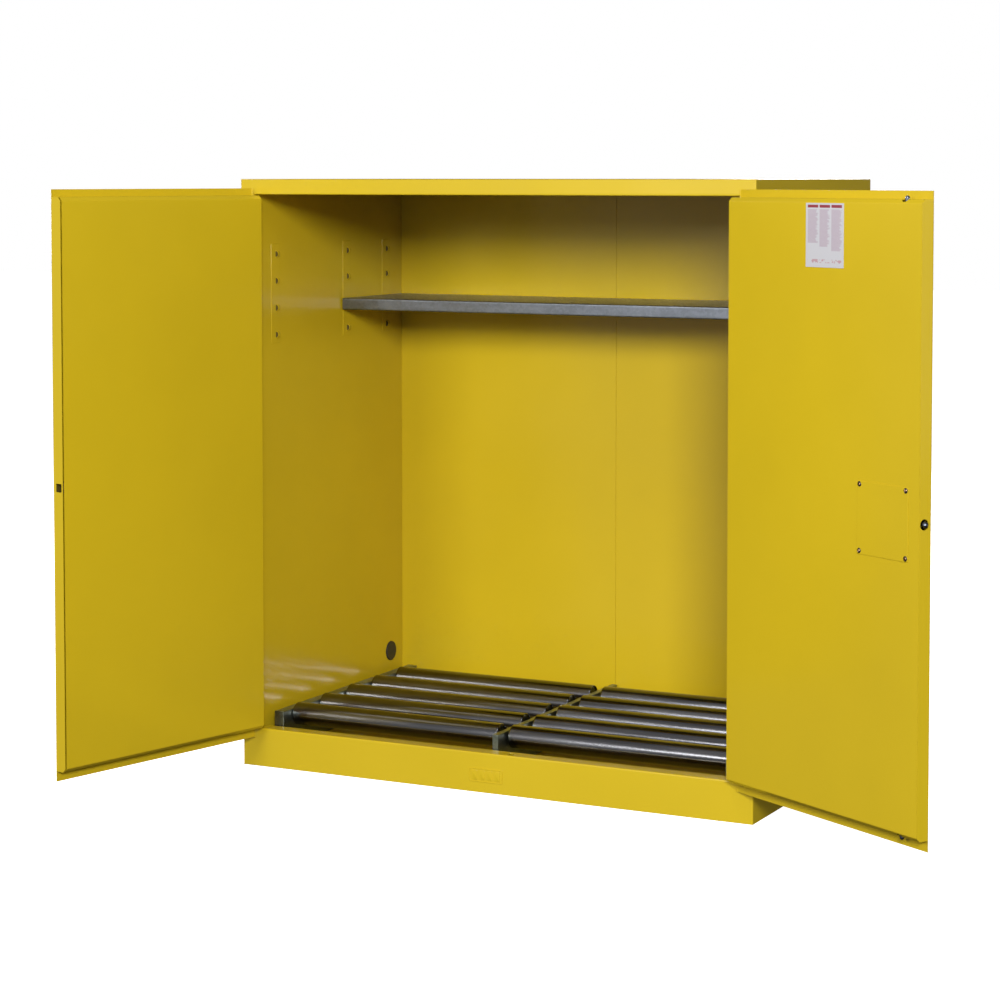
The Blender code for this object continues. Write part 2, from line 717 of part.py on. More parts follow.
def hinge(side, word, door):
    """Piano hinge: the frame's leaf and pin stay, the other leaf swings with the door."""
    frame = pivot(word + "_hinge_axis", (side * HINGE_X, HINGE_Y, 0.0))
    outer = HINGE_INSET - FIT
    hinge_leaf(word + "_hinge_frame_leaf", side, (-outer, LEAF_THICKNESS - outer), 0, frame)
    length = BOX_TOP - BOX_BOTTOM
    rod(word + "_hinge_pin", PIN_RADIUS, (0.0, 0.0, BOX_BOTTOM), length, "Z", 12, "steel", frame)
    outer = DOOR_SIDE_GAP - FIT
    hinge_leaf(word + "_hinge_door_leaf", side, (outer - LEAF_THICKNESS, outer), 1, door)


def door_skin(side, word, door):
    """Outer sheet: its upright edges fold in to the full thickness, its top and bottom run past the box."""
    thick, hinge_edge = DOOR_THICKNESS, DOOR_SIDE_GAP
    path = [(hinge_edge, thick), (hinge_edge, 0.0), (DOOR_WIDTH, 0.0), (DOOR_WIDTH, thick)]
    name = word + "_door_skin"
    skin = bent_sheet(name, mirrored(side, path), (SKIN_BOTTOM, SKIN_TOP), "Z", "paint", door)
    past = thick + OVERSHOOT
    span = (-DOOR_WIDTH - OVERSHOOT, DOOR_WIDTH + OVERSHOOT)
    start, inner = SHEET + FIT, thick - LINER_CHAMFER
    for end, edge, beyond in (
        ("top", BOX_TOP, SKIN_TOP + OVERSHOOT),
        ("bottom", BOX_BOTTOM, SKIN_BOTTOM - OVERSHOOT),
    ):
        slope = edge - LINER_CHAMFER if end == "top" else edge + LINER_CHAMFER
        box_side = [(start, edge), (inner, edge), (thick, slope), (past, slope)]
        outline = [*box_side, (past, beyond), (start, beyond)]
        cut(skin, outline_solid(f"{name}_{end}_notch", outline, span, "X", door))
    return skin


def door_liner(side, word, door):
    """Inner sheet: bevelled and folded towards the skin at the top and bottom."""
    thick, bevel = DOOR_THICKNESS, LINER_CHAMFER
    path = [
        (LINER_RETURN, BOX_BOTTOM),
        (thick - bevel, BOX_BOTTOM),
        (thick, BOX_BOTTOM + bevel),
        (thick, BOX_TOP - bevel),
        (thick - bevel, BOX_TOP),
        (LINER_RETURN, BOX_TOP),
    ]
    inset = SHEET + FIT
    span = sorted((-side * (DOOR_SIDE_GAP + inset), -side * (DOOR_WIDTH - inset)))
    return bent_sheet(word + "_door_liner", path, span, "X", "paint", door)


def left_door(door):
    side = -1
    skin = door_skin(side, "left", door)
    door_liner(side, "left", door)
    half = STRIKE_SQUARE / 2
    low = (DOOR_WIDTH - OVERSHOOT, LATCH_DEPTH - half, LATCH_HEIGHT - half)
    high = (DOOR_WIDTH + OVERSHOOT, LATCH_DEPTH + half, LATCH_HEIGHT + half)
    cut(skin, box("strike_opening", low, high, None, door))


def right_door(door):
    """The right door is drawn closed: its hinge axis at the origin, the door along -X, inside towards +Y."""
    skin = door_skin(1, "right", door)
    liner = door_liner(1, "right", door)
    spindle = (-SPINDLE_U, -OVERSHOOT, LATCH_HEIGHT)
    cut(skin, rod("spindle_hole", SPINDLE_RADIUS + FIT, spindle, 2 * OVERSHOOT, "Y", 16, None, door))
    edge = (-DOOR_WIDTH - OVERSHOOT, LATCH_DEPTH, LATCH_HEIGHT)
    cut(skin, rod("bolt_hole", BOLT_HOLE_RADIUS, edge, 2 * OVERSHOOT, "X", 24, None, door))
    for name, z in (("top_rod_hole", BOX_TOP), ("bottom_rod_hole", BOX_BOTTOM)):
        depth = 2 * LINER_CHAMFER
        start = (-SPINDLE_U, LATCH_DEPTH, z - depth / 2)
        cut(liner, rod(name, ROD_HOLE_RADIUS, start, depth, "Z", 20, None, door))
    centre_u, centre_z = SPINDLE_U + COVER_OFFSET[0], LATCH_HEIGHT + COVER_OFFSET[1]
    half_u, half_z = LATCH_OPENING[0] / 2, LATCH_OPENING[1] / 2
    low = (-centre_u - half_u, DOOR_THICKNESS - OVERSHOOT, centre_z - half_z)
    high = (-centre_u + half_u, DOOR_THICKNESS + OVERSHOOT, centre_z + half_z)
    cut(liner, box("latch_opening", low, high, None, door))
    on_liner("latch_access_cover", (centre_u, centre_z), COVER_SIZE, COVER_THICKNESS, "paint", door)
    label_u = LABEL_FROM_HINGE + LABEL_SIZE[0] / 2
    label_z = BOX_TOP - LABEL_FROM_TOP - LABEL_SIZE[1] / 2
    on_liner("instruction_label", (label_u, label_z), LABEL_SIZE, LABEL_THICKNESS, "paper", door)


def on_liner(name, centre, size, thickness, finish, door):
    """A plate on the right door's inner face; its centre is (distance from the axis, height)."""
    face = DOOR_THICKNESS + FIT
    low = (-centre[0] - size[0] / 2, face, centre[1] - size[1] / 2)
    high = (-centre[0] + size[0] / 2, face + thickness, centre[1] + size[1] / 2)
    return box(name, low, high, finish, door)


# ---- latch ----
# Drawn about the spindle: x from the spindle away from the free edge, y into the door, z up.


def cam_pin(name, angle, start, parent):
    """A pin on the cam; the angle is from the free edge's direction towards up."""
    place = (-CRANK * cos(angle), start, CRANK * sin(angle))
    return rod(name, CAM_PIN_RADIUS, place, CAM_PIN_LENGTH, "Y", 12, None, parent)


def latch_cam(handle):
    """Disc on the spindle, with two pins on its inner side for the rods and one outside for the bolt."""
    cam = rod("latch_cam", CAM_RADIUS, (0.0, CAM_DEPTH, 0.0), CAM_THICKNESS, "Y", 24, "steel", handle)
    inner = CAM_DEPTH + CAM_THICKNESS - EMBED
    join(cam, cam_pin("top_rod_pin", radians(45), inner, handle))
    join(cam, cam_pin("bottom_rod_pin", radians(225), inner, handle))
    outer = CAM_DEPTH + EMBED - CAM_PIN_LENGTH
    join(cam, cam_pin("centre_bolt_pin", radians(-45), outer, handle))
    start = (0.0, CAM_DEPTH - OVERSHOOT, 0.0)
    cut(cam, rod("cam_bore", SPINDLE_RADIUS + FIT, start, 2 * OVERSHOOT, "Y", 16, None, handle))


def latch_rod(name, up, tip, parent):
    """Round rod with a rounded tip and an offset plate, whose level slot takes a cam pin."""
    near = CAM_DEPTH + CAM_THICKNESS + PLATE_GAP
    far = near + PLATE_THICKNESS
    slot_half = CAM_PIN_RADIUS + SLOT_CLEARANCE
    pin = CRANK * cos(radians(45))
    arm_inner, arm_outer = MOTION_GAP / 2, CRANK + slot_half + PLATE_MARGIN
    neck = 2 * BOLT_TRAVEL + MOTION_GAP
    top = neck + SHOULDER_HEIGHT
    lower = (-up * arm_outer, near, up * (pin - slot_half - PLATE_MARGIN))
    upper = (-up * arm_inner, far, up * top)
    plate = box(name, *corners(lower, upper), "steel", parent)
    lower = (-up * (arm_outer - FIT), near + FIT, up * neck)
    upper = (up * ROD_RADIUS, far - FIT, up * (top - FIT))
    join(plate, box(name + "_shoulder", *corners(lower, upper), None, parent))
    stem_start = top - SHOULDER_HEIGHT / 2
    length = tip - ROD_RADIUS - stem_start
    start = (0.0, LATCH_DEPTH, stem_start if up > 0 else -stem_start - length)
    join(plate, rod(name + "_stem", ROD_RADIUS, start, length, "Z", 12, None, parent))
    join(plate, bullet(name + "_tip", ROD_RADIUS, (0.0, LATCH_DEPTH, up * (tip - ROD_RADIUS)), parent))
    far_end = (-up * (CRANK + slot_half), near - OVERSHOOT, up * (pin - slot_half))
    near_end = (-up * (pin - slot_half), far + OVERSHOOT, up * (pin + slot_half))
    slot = corners(far_end, near_end)
    return cut(plate, box(name + "_slot", *slot, None, parent))


def corners(first, second):
    """The lowest and highest corner of the box between two points."""
    low = tuple(min(a, b) for a, b in zip(first, second))
    high = tuple(max(a, b) for a, b in zip(first, second))
    return low, high


def bullet(name, radius, centre, parent):
    """A ball that rounds off the end of a rod, a shade slimmer so that no faces coincide."""
    builder = bmesh.new()
    place = Matrix.Translation(centre)
    bmesh.ops.create_uvsphere(builder, u_segments=12, v_segments=8, radius=radius * TIP_SHARE, matrix=place)
    return object_from(name, builder, None, parent)


def centre_bolt(parent):
    """Forked plate on the cam's outer side, stepped in to a round bolt that leaves through the free edge."""
    far = CAM_DEPTH - PLATE_GAP
    near = far - PLATE_THICKNESS
    pin = CRANK * cos(radians(45))
    slot_half = CAM_PIN_RADIUS + SLOT_CLEARANCE
    fork_low = -(CRANK + slot_half + PLATE_MARGIN)
    fork_high = -(SPINDLE_RADIUS + MOTION_GAP / 2)
    step_start = CAM_RADIUS + BOLT_TRAVEL + MOTION_GAP
    step_end = step_start + STEP_LENGTH
    arm = corners((slot_half + PLATE_MARGIN - pin, near, fork_low), (-step_end + FIT, far, fork_high))
    plate = box("centre_bolt", *arm, "steel", parent)
    step_top = (-step_end, LATCH_DEPTH, BOLT_RADIUS - STEP_TRIM)
    block = corners((-step_start, near + FIT, fork_low + FIT), step_top)
    join(plate, box("centre_bolt_step", *block, None, parent))
    tip = LATCH_SETBACK + BOLT_THROW
    bar_start = step_start + STEP_TRIM
    length = tip - BOLT_RADIUS - bar_start
    start = (-tip + BOLT_RADIUS, LATCH_DEPTH, 0.0)
    join(plate, rod("centre_bolt_bar", BOLT_RADIUS, start, length, "X", 16, None, parent))
    join(plate, bullet("centre_bolt_tip", BOLT_RADIUS, start, parent))
    bottom = (slot_half - pin, near - OVERSHOOT, -(CRANK + slot_half))
    slot = corners(bottom, (-(pin + slot_half), far + OVERSHOOT, 0.0))
    return cut(plate, box("centre_bolt_slot", *slot, None, parent))


def lever_handle(handle):
    """Hub with a lock socket, a lever that hangs down, and a round spindle to the cam."""
    rose_face = FIT + ROSE_THICKNESS
    hub_back = -(rose_face + FIT)
    hub_front = hub_back - HUB_LENGTH
    start = (0.0, hub_front, 0.0)
    hub = rod("lever_handle", HUB_RADIUS, start, HUB_LENGTH, "Y", 24, "black", handle)
    arm_back = hub_front + LEVER_THICKNESS
    half = LEVER_WIDTH / 2
    arm = box("lever_arm", (-half, hub_front + FIT, -LEVER_LENGTH), (half, arm_back, 0.0), None, handle)
    round_off(arm, LEVER_ROUNDING)
    join(hub, arm)
    spindle_end = CAM_DEPTH + CAM_THICKNESS
    start = (0.0, hub_back - EMBED, 0.0)
    join(hub, rod("spindle", SPINDLE_RADIUS, start, spindle_end - start[1], "Y", 16, None, handle))
    start = (0.0, hub_front - OVERSHOOT, 0.0)
    cut(hub, rod("lock_socket", LOCK_RADIUS + FIT, start, OVERSHOOT + LOCK_SOCKET, "Y", 20, None, handle))
    start = (0.0, hub_front - LOCK_STAND, 0.0)
    length = LOCK_SOCKET + LOCK_STAND - FIT
    lock = rod("lock_cylinder", LOCK_RADIUS, start, length, "Y", 20, "steel", handle)
    half_width, half_height = KEYWAY_WIDTH / 2, KEYWAY_HEIGHT / 2
    low = (-half_width, start[1] - OVERSHOOT, -half_height)
    high = (half_width, start[1] + KEYWAY_DEPTH, half_height)
    cut(lock, box("keyway", low, high, None, handle))


def round_off(thing, width):
    bevel = thing.modifiers.new("Rounded edges", "BEVEL")
    bevel.width = width
    bevel.segments = 2


def latch(door):
    handle = pivot("handle_axis", (-SPINDLE_U, 0.0, LATCH_HEIGHT), parent=door)
    rose_start = (0.0, -FIT - ROSE_THICKNESS, 0.0)
    rose = rod("handle_rose", ROSE_RADIUS, rose_start, ROSE_THICKNESS, "Y", 28, "black", handle)
    start = (0.0, rose_start[1] - OVERSHOOT, 0.0)
    length = ROSE_THICKNESS + 2 * OVERSHOOT
    cut(rose, rod("rose_bore", SPINDLE_RADIUS + FIT, start, length, "Y", 16, None, handle))
    lever_handle(handle)
    latch_cam(handle)
    latch_rod("top_rod", 1, BOX_TOP + ROD_THROW - LATCH_HEIGHT, handle)
    latch_rod("bottom_rod", -1, LATCH_HEIGHT - BOX_BOTTOM + ROD_THROW, handle)
    centre_bolt(handle)


def doors():
    for side, word in ((-1, "left"), (1, "right")):
        angle = side * DOOR_OPEN[side]
        door = pivot(word + "_door_axis", (side * HINGE_X, HINGE_Y, 0.0), angle)
        hinge(side, word, door)
        if side < 0:
            left_door(door)
        else:
            right_door(door)
            latch(door)


def shade_round_pieces():
    for thing in parts.objects:
        if thing.type == "MESH" and any(m.type in ("SCREW", "SOLIDIFY") for m in thing.modifiers):
            thing.data.shade_smooth()
            thing.data.set_sharp_from_angle(angle=radians(40))


clear_scene()
parts = new_collection("flammable_storage_cabinet")
cutters = new_collection("cutters")
body_shell()
levelling_feet()
vent(-1, "left")
vent(1, "right")
earthing_stud()
roller_deck()
shelf()
doors()
shade_round_pieces()
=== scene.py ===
import json
from math import atan2, cos, pi, radians, sin, tan

import bmesh
import bpy
import numpy as np
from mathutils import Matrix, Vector


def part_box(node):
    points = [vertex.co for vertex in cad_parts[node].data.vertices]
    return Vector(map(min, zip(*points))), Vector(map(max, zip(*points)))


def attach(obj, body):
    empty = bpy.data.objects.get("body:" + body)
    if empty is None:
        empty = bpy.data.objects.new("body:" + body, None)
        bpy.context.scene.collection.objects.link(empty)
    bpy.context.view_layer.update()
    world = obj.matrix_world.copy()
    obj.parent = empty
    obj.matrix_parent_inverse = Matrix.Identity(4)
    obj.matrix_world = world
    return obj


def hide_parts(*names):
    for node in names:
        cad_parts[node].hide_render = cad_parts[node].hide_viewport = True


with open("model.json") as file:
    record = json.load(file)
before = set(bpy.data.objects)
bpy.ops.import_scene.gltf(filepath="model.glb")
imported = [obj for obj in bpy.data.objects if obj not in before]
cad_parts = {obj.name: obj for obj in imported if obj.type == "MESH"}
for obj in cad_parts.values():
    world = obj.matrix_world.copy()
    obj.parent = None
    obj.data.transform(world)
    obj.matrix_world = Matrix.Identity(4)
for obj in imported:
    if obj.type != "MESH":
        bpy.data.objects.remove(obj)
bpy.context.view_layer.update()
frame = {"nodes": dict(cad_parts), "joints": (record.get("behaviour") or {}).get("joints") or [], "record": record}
print("frame loaded:", len(frame["nodes"]), "nodes")


camera = {
    "place": (3.1504, -6.5925, 1.6565),
    "heading": 26.835,  # degrees left of straight at the front
    "pitch": 3.155,  # degrees down
    "lens": 93.42,
    "shift": (0.0009, -0.18),
}
studio = {
    "ambientFront": 0.46,
    "ambientBack": 0.06,
    "ambientBelow": 0.22,  # share of the fill that comes from below
    "frontFade": (-0.9, 0.3),  # where the fill's front and back parts begin, by the Y of its way
    "belowFade": (-0.35, 0.10),  # and its lower and upper parts, by the Z
    "backdrop": 1.0,
    "lamps": {
        "key": {"place": (4.62, -8.6, 3.8), "aim": (0.0, -0.2, 0.75), "size": 1.95, "watts": 745},
        "front": {"place": (-1.9, -9.4, 3.5), "aim": (0.2, -0.3, 0.8), "size": 2.1, "watts": 285},
        "top": {"place": (0.6, -3.0, 4.6), "aim": (0.1, -0.4, 0.3), "size": 1.0, "watts": 24},
        "side": {"place": (5.6, -1.2, 1.7), "aim": (0.0, -0.4, 0.8), "size": 2.4, "watts": 27},
        "back": {"place": (-0.5, 6.6, 3.0), "aim": (-0.2, 0.4, 0.8), "size": 3.0, "watts": 300},
        "left": {"place": (-6.2, 1.6, 2.5), "aim": (-0.7, 0.0, 0.8), "size": 2.6, "watts": 230},
    },
    "floorTone": 0.93,
    "floorGlow": 1.0,
    "floorReach": 30.0,
}


def addCamera():
    data = bpy.data.cameras.new("camera")
    data.lens = camera["lens"]
    data.sensor_width = 36.0
    data.shift_x, data.shift_y = camera["shift"]
    data.dof.use_dof = False
    view = bpy.data.objects.new("camera", data)
    view.location = camera["place"]
    view.rotation_euler = (radians(90 - camera["pitch"]), 0.0, radians(camera["heading"]))
    bpy.context.scene.collection.objects.link(view)
    bpy.context.scene.camera = view


def addLamp(name, lamp):
    data = bpy.data.lights.new(name, "AREA")
    data.shape = "SQUARE"
    data.size = lamp["size"]
    data.energy = lamp["watts"]
    thing = bpy.data.objects.new(name, data)
    thing.location = lamp["place"]
    toward = Vector(lamp["aim"]) - Vector(lamp["place"])
    thing.rotation_euler = toward.to_track_quat("-Z", "Y").to_euler()
    bpy.context.scene.collection.objects.link(thing)


def rampNode(nodes, low, high, start=0.0, end=1.0):
    node = nodes.new("ShaderNodeMapRange")
    for name, value in (("From Min", start), ("From Max", end), ("To Min", low), ("To Max", high)):
        node.inputs[name].default_value = value
    return node


def addWorld():
    # Fill, stronger from the front and much weaker from below, and plain white where the camera sees it.
    world = bpy.data.worlds.new("studio")
    bpy.context.scene.world = world
    world.use_nodes = True
    nodes, links = world.node_tree.nodes, world.node_tree.links
    heading = nodes.new("ShaderNodeSeparateXYZ")
    links.new(nodes.new("ShaderNodeTexCoord").outputs["Generated"], heading.inputs["Vector"])
    fill = rampNode(nodes, studio["ambientFront"], studio["ambientBack"], *studio["frontFade"])
    links.new(heading.outputs["Y"], fill.inputs["Value"])
    height = rampNode(nodes, studio["ambientBelow"], 1.0, *studio["belowFade"])
    links.new(heading.outputs["Z"], height.inputs["Value"])
    shaped = nodes.new("ShaderNodeMath")
    shaped.operation = "MULTIPLY"
    links.new(fill.outputs["Result"], shaped.inputs[0])
    links.new(height.outputs["Result"], shaped.inputs[1])
    strength = rampNode(nodes, 0.0, studio["backdrop"])
    links.new(shaped.outputs["Value"], strength.inputs["To Min"])
    links.new(nodes.new("ShaderNodeLightPath").outputs["Is Camera Ray"], strength.inputs["Value"])
    background = nodes["Background"]
    background.inputs["Color"].default_value = (1.0, 1.0, 1.0, 1.0)
    links.new(strength.outputs["Result"], background.inputs["Strength"])


def addFloor():
    reach = studio["floorReach"]
    mesh = bpy.data.meshes.new("floor")
    corners = [(-reach, -reach, 0), (reach, -reach, 0), (reach, reach, 0), (-reach, reach, 0)]
    mesh.from_pydata(corners, [], [(0, 1, 2, 3)])
    floor = bpy.data.objects.new("floor", mesh)
    bpy.context.scene.collection.objects.link(floor)
    paint = bpy.data.materials.new("floorPaint")
    paint.use_nodes = True
    shader = paint.node_tree.nodes["Principled BSDF"]
    tone = studio["floorTone"]
    shader.inputs["Base Color"].default_value = (tone, tone, tone, 1.0)
    shader.inputs["Roughness"].default_value = 0.9
    shader.inputs["Specular IOR Level"].default_value = 0.0
    shader.inputs["Emission Color"].default_value = (1.0, 1.0, 1.0, 1.0)
    shader.inputs["Emission Strength"].default_value = studio["floorGlow"]
    mesh.materials.append(paint)
    floor.visible_diffuse = False  # white to the camera, without lighting the object from below
    floor.visible_glossy = False


bpy.context.scene.view_settings.view_transform = "Standard"
addCamera()
addWorld()
for lampName, lampRow in studio["lamps"].items():
    addLamp(lampName + "Light", lampRow)
addFloor()
print("studio ready")


finishes = {
    "yellowEnamel": {"colour": (0.595, 0.424, 0.012), "roughness": 0.33, "metal": 0.0},
    "galvanised": {"colour": (0.215, 0.235, 0.270), "roughness": 0.36, "metal": 1.0},
    "rollerSteel": {"colour": (0.165, 0.165, 0.175), "roughness": 0.27, "metal": 1.0},
    "railZinc": {"colour": (0.215, 0.245, 0.205), "roughness": 0.45, "metal": 1.0},
    "brightSteel": {"colour": (0.13, 0.145, 0.175), "roughness": 0.25, "metal": 1.0},
    # painted shade: the colour of shadow inside openings, not of any paint on the cabinet
    "shadedEnamel": {"colour": (0.085, 0.058, 0.003), "roughness": 0.6, "metal": 0.0},
    "screwSteel": {"colour": (0.30, 0.19, 0.12), "roughness": 0.38, "metal": 1.0},
    "blackEnamel": {"colour": (0.017, 0.017, 0.018), "roughness": 0.42, "metal": 0.0},
    "zincPlate": {"colour": (0.52, 0.50, 0.43), "roughness": 0.34, "metal": 1.0},
    "labelFilm": {"colour": (0.53, 0.53, 0.57), "roughness": 0.45, "metal": 0.0},
}


class NodeBench:
    # One material's node tree, with short ways to add, set and wire nodes.
    def __init__(self, name):
        finish = finishes[name]
        self.material = bpy.data.materials.new(name)
        self.material.use_nodes = True
        self.tree = self.material.node_tree
        self.shader = self.tree.nodes["Principled BSDF"]
        self.shader.inputs["Base Color"].default_value = (*finish["colour"], 1.0)
        self.shader.inputs["Roughness"].default_value = finish["roughness"]
        self.shader.inputs["Metallic"].default_value = finish["metal"]
        self.places = self.add("TexCoord").outputs["Object"]
        self.colour = finish["colour"]

    def add(self, kind, **inputs):
        node = self.tree.nodes.new("ShaderNode" + kind)
        for socket, value in inputs.items():
            self.feed(node.inputs[socket.replace("_", " ")], value)
        return node

    def feed(self, socket, value):
        if isinstance(value, bpy.types.NodeSocket):
            self.tree.links.new(value, socket)
        else:
            socket.default_value = value

    def noise(self, scale, detail=2.0, places=None, roughness=0.5):
        node = self.add("TexNoise", Scale=scale, Detail=detail, Roughness=roughness)
        self.feed(node.inputs["Vector"], places or self.places)
        return node.outputs["Fac"]

    def stretched(self, scale):
        node = self.add("Mapping", Scale=scale)
        self.feed(node.inputs["Vector"], self.places)
        return node.outputs["Vector"]

    def ramp(self, value, low, high, start=0.0, end=1.0):
        node = rampNode(self.tree.nodes, low, high, start, end)
        self.feed(node.inputs["Value"], value)
        return node.outputs["Result"]

    def cloud(self, scale, detail, low, high, start=0.3, end=0.7):
        return self.ramp(self.noise(scale, detail), low, high, start, end)

    def pimples(self, scale, depth):
        return self.bump(self.noise(scale, 2.0), depth)

    def blend(self, share, first, second):
        node = self.add("Mix")
        node.data_type = "RGBA"
        self.feed(node.inputs[0], share)
        self.feed(node.inputs[6], first if isinstance(first, bpy.types.NodeSocket) else (*first, 1.0))
        self.feed(node.inputs[7], second if isinstance(second, bpy.types.NodeSocket) else (*second, 1.0))
        return node.outputs[2]

    def maths(self, operation, first, second=0.0):
        node = self.add("Math")
        node.operation = operation
        self.feed(node.inputs[0], first)
        self.feed(node.inputs[1], second)
        return node.outputs[0]

    def times(self, *values):
        product = values[0]
        for value in values[1:]:
            product = self.maths("MULTIPLY", product, value)
        return product

    def between(self, value, low, high):
        return self.times(self.maths("GREATER_THAN", value, low), self.maths("LESS_THAN", value, high))

    def bump(self, height, depth, under=None):
        node = self.add("Bump", Height=height, Distance=depth, Strength=1.0)
        if under is not None:
            self.feed(node.inputs["Normal"], under)
        return node.outputs["Normal"]

    def paint(self, **sockets):
        for name, value in sockets.items():
            self.feed(self.shader.inputs[name.replace("_", " ")], value)


def shade(colour, share):
    return tuple(channel * share for channel in colour)


def yellowEnamel():
    # Gloss enamel: panels that wave a little, fine orange peel on top, and a faint drift of tone and gloss.
    bench = NodeBench("yellowEnamel")
    drift = bench.cloud(1.7, 3.0, 0.0, 1.0, 0.32, 0.68)
    tone = bench.blend(drift, shade(bench.colour, 0.955), shade(bench.colour, 1.03))
    bench.paint(Base_Color=tone)
    bench.paint(Roughness=bench.cloud(2.3, 2.0, 0.17, 0.27))
    wave = bench.bump(bench.noise(3.1, 1.0), 0.0016)
    peel = bench.bump(bench.noise(620.0, 2.0), 0.00003, wave)
    bench.paint(Normal=peel, Coat_Weight=0.12, Coat_Roughness=0.06)
    return bench.material


def galvanised(name):
    # Hot-dip zinc: small crystals, each with its own tone and dullness, under a cloudy film.
    bench = NodeBench(name)
    cells = bench.add("TexVoronoi", Scale=150.0)
    bench.feed(cells.inputs["Vector"], bench.stretched((1.0, 1.0, 1.0)))
    split = bench.add("SeparateColor", Color=cells.outputs["Color"])
    crystal = bench.ramp(split.outputs["Red"], 0.88, 1.09)
    cloud = bench.cloud(6.0, 4.0, 0.86, 1.08)
    tone = bench.add("VectorMath")
    tone.operation = "SCALE"
    tone.inputs[0].default_value = bench.colour
    bench.feed(tone.inputs["Scale"], bench.maths("MULTIPLY", crystal, cloud))
    bench.paint(Base_Color=tone.outputs["Vector"])
    bench.paint(Roughness=bench.ramp(split.outputs["Green"], 0.28, 0.46))
    bench.paint(Normal=bench.bump(split.outputs["Blue"], 0.00008))
    return bench.material


def rollerSteel():
    # Drawn tube: rings left by turning, long rubbed streaks, and brown stains where drums have stood.
    bench = NodeBench("rollerSteel")
    rings = bench.noise(1.0, 3.0, bench.stretched((420.0, 6.0, 6.0)))
    streaks = bench.noise(1.0, 3.0, bench.stretched((3.0, 70.0, 70.0)))
    stain = bench.ramp(bench.noise(7.0, 5.0, roughness=0.6), 0.0, 0.35, 0.52, 0.78)
    rubbed = bench.ramp(streaks, 0.0, 1.0, 0.3, 0.7)
    tone = bench.blend(rubbed, shade(bench.colour, 0.80), shade(bench.colour, 1.25))
    bench.paint(Base_Color=bench.blend(stain, tone, (0.135, 0.095, 0.070)))
    bench.paint(Roughness=bench.ramp(streaks, 0.15, 0.27, 0.3, 0.7))
    bench.paint(Normal=bench.bump(rings, 0.00002))
    return bench.material


def turnedSteel(name, grain):
    # Bright metal with fine tool marks and a thin, uneven tarnish.
    bench = NodeBench(name)
    marks = bench.noise(1.0, 2.0, bench.stretched((grain, grain, grain * 1.7)))
    tarnish = bench.cloud(85.0, 4.0, 0.0, 0.6, 0.45, 0.75)
    bench.paint(Base_Color=bench.blend(tarnish, shade(bench.colour, 1.08), shade(bench.colour, 0.62)))
    bench.paint(Roughness=bench.ramp(marks, 0.20, 0.42, 0.3, 0.7))
    bench.paint(Normal=bench.bump(marks, 0.00003))
    return bench.material


def blackEnamel():
    # Powder coat: fine pimples and lighter rubbed patches.
    bench = NodeBench("blackEnamel")
    rub = bench.cloud(60.0, 4.0, 0.0, 0.7, 0.5, 0.8)
    bench.paint(Base_Color=bench.blend(rub, bench.colour, (0.050, 0.050, 0.052)))
    bench.paint(Roughness=bench.cloud(25.0, 3.0, 0.36, 0.52))
    bench.paint(Normal=bench.pimples(900.0, 0.00005))
    return bench.material


def shadedEnamel():
    # Painted shade: a near-black olive that stands for the shadow inside a pressed opening, patchy and nearly
    # dull.
    bench = NodeBench("shadedEnamel")
    patch = bench.cloud(240.0, 3.0, 0.0, 1.0, 0.35, 0.65)
    bench.paint(Base_Color=bench.blend(patch, shade(bench.colour, 0.7), shade(bench.colour, 1.3)))
    bench.paint(Roughness=bench.cloud(90.0, 2.0, 0.5, 0.75))
    bench.paint(Normal=bench.pimples(800.0, 0.00004))
    return bench.material


labelPrint = {
    "columns": 3,
    "margin": 0.03,  # shares of the label's width and height
    "gutter": 0.02,
    "headTop": 0.972,
    "headHeight": 0.045,
    "linesTop": 0.900,
    "linesEnd": (0.38, 0.06),  # the first column's end, and how much lower each next one ends
    "linePitch": 0.0135,
    "lineShare": 0.62,  # share of the pitch that a bar fills
    "shortest": 0.70,  # shortest bar, as a share of its column
    "footBand": (0.07, 0.125),
    "headInk": (0.26, 0.025, 0.045),
    "lineInk": (0.40, 0.31, 0.385),
    "footInk": (0.45, 0.28, 0.32),
}


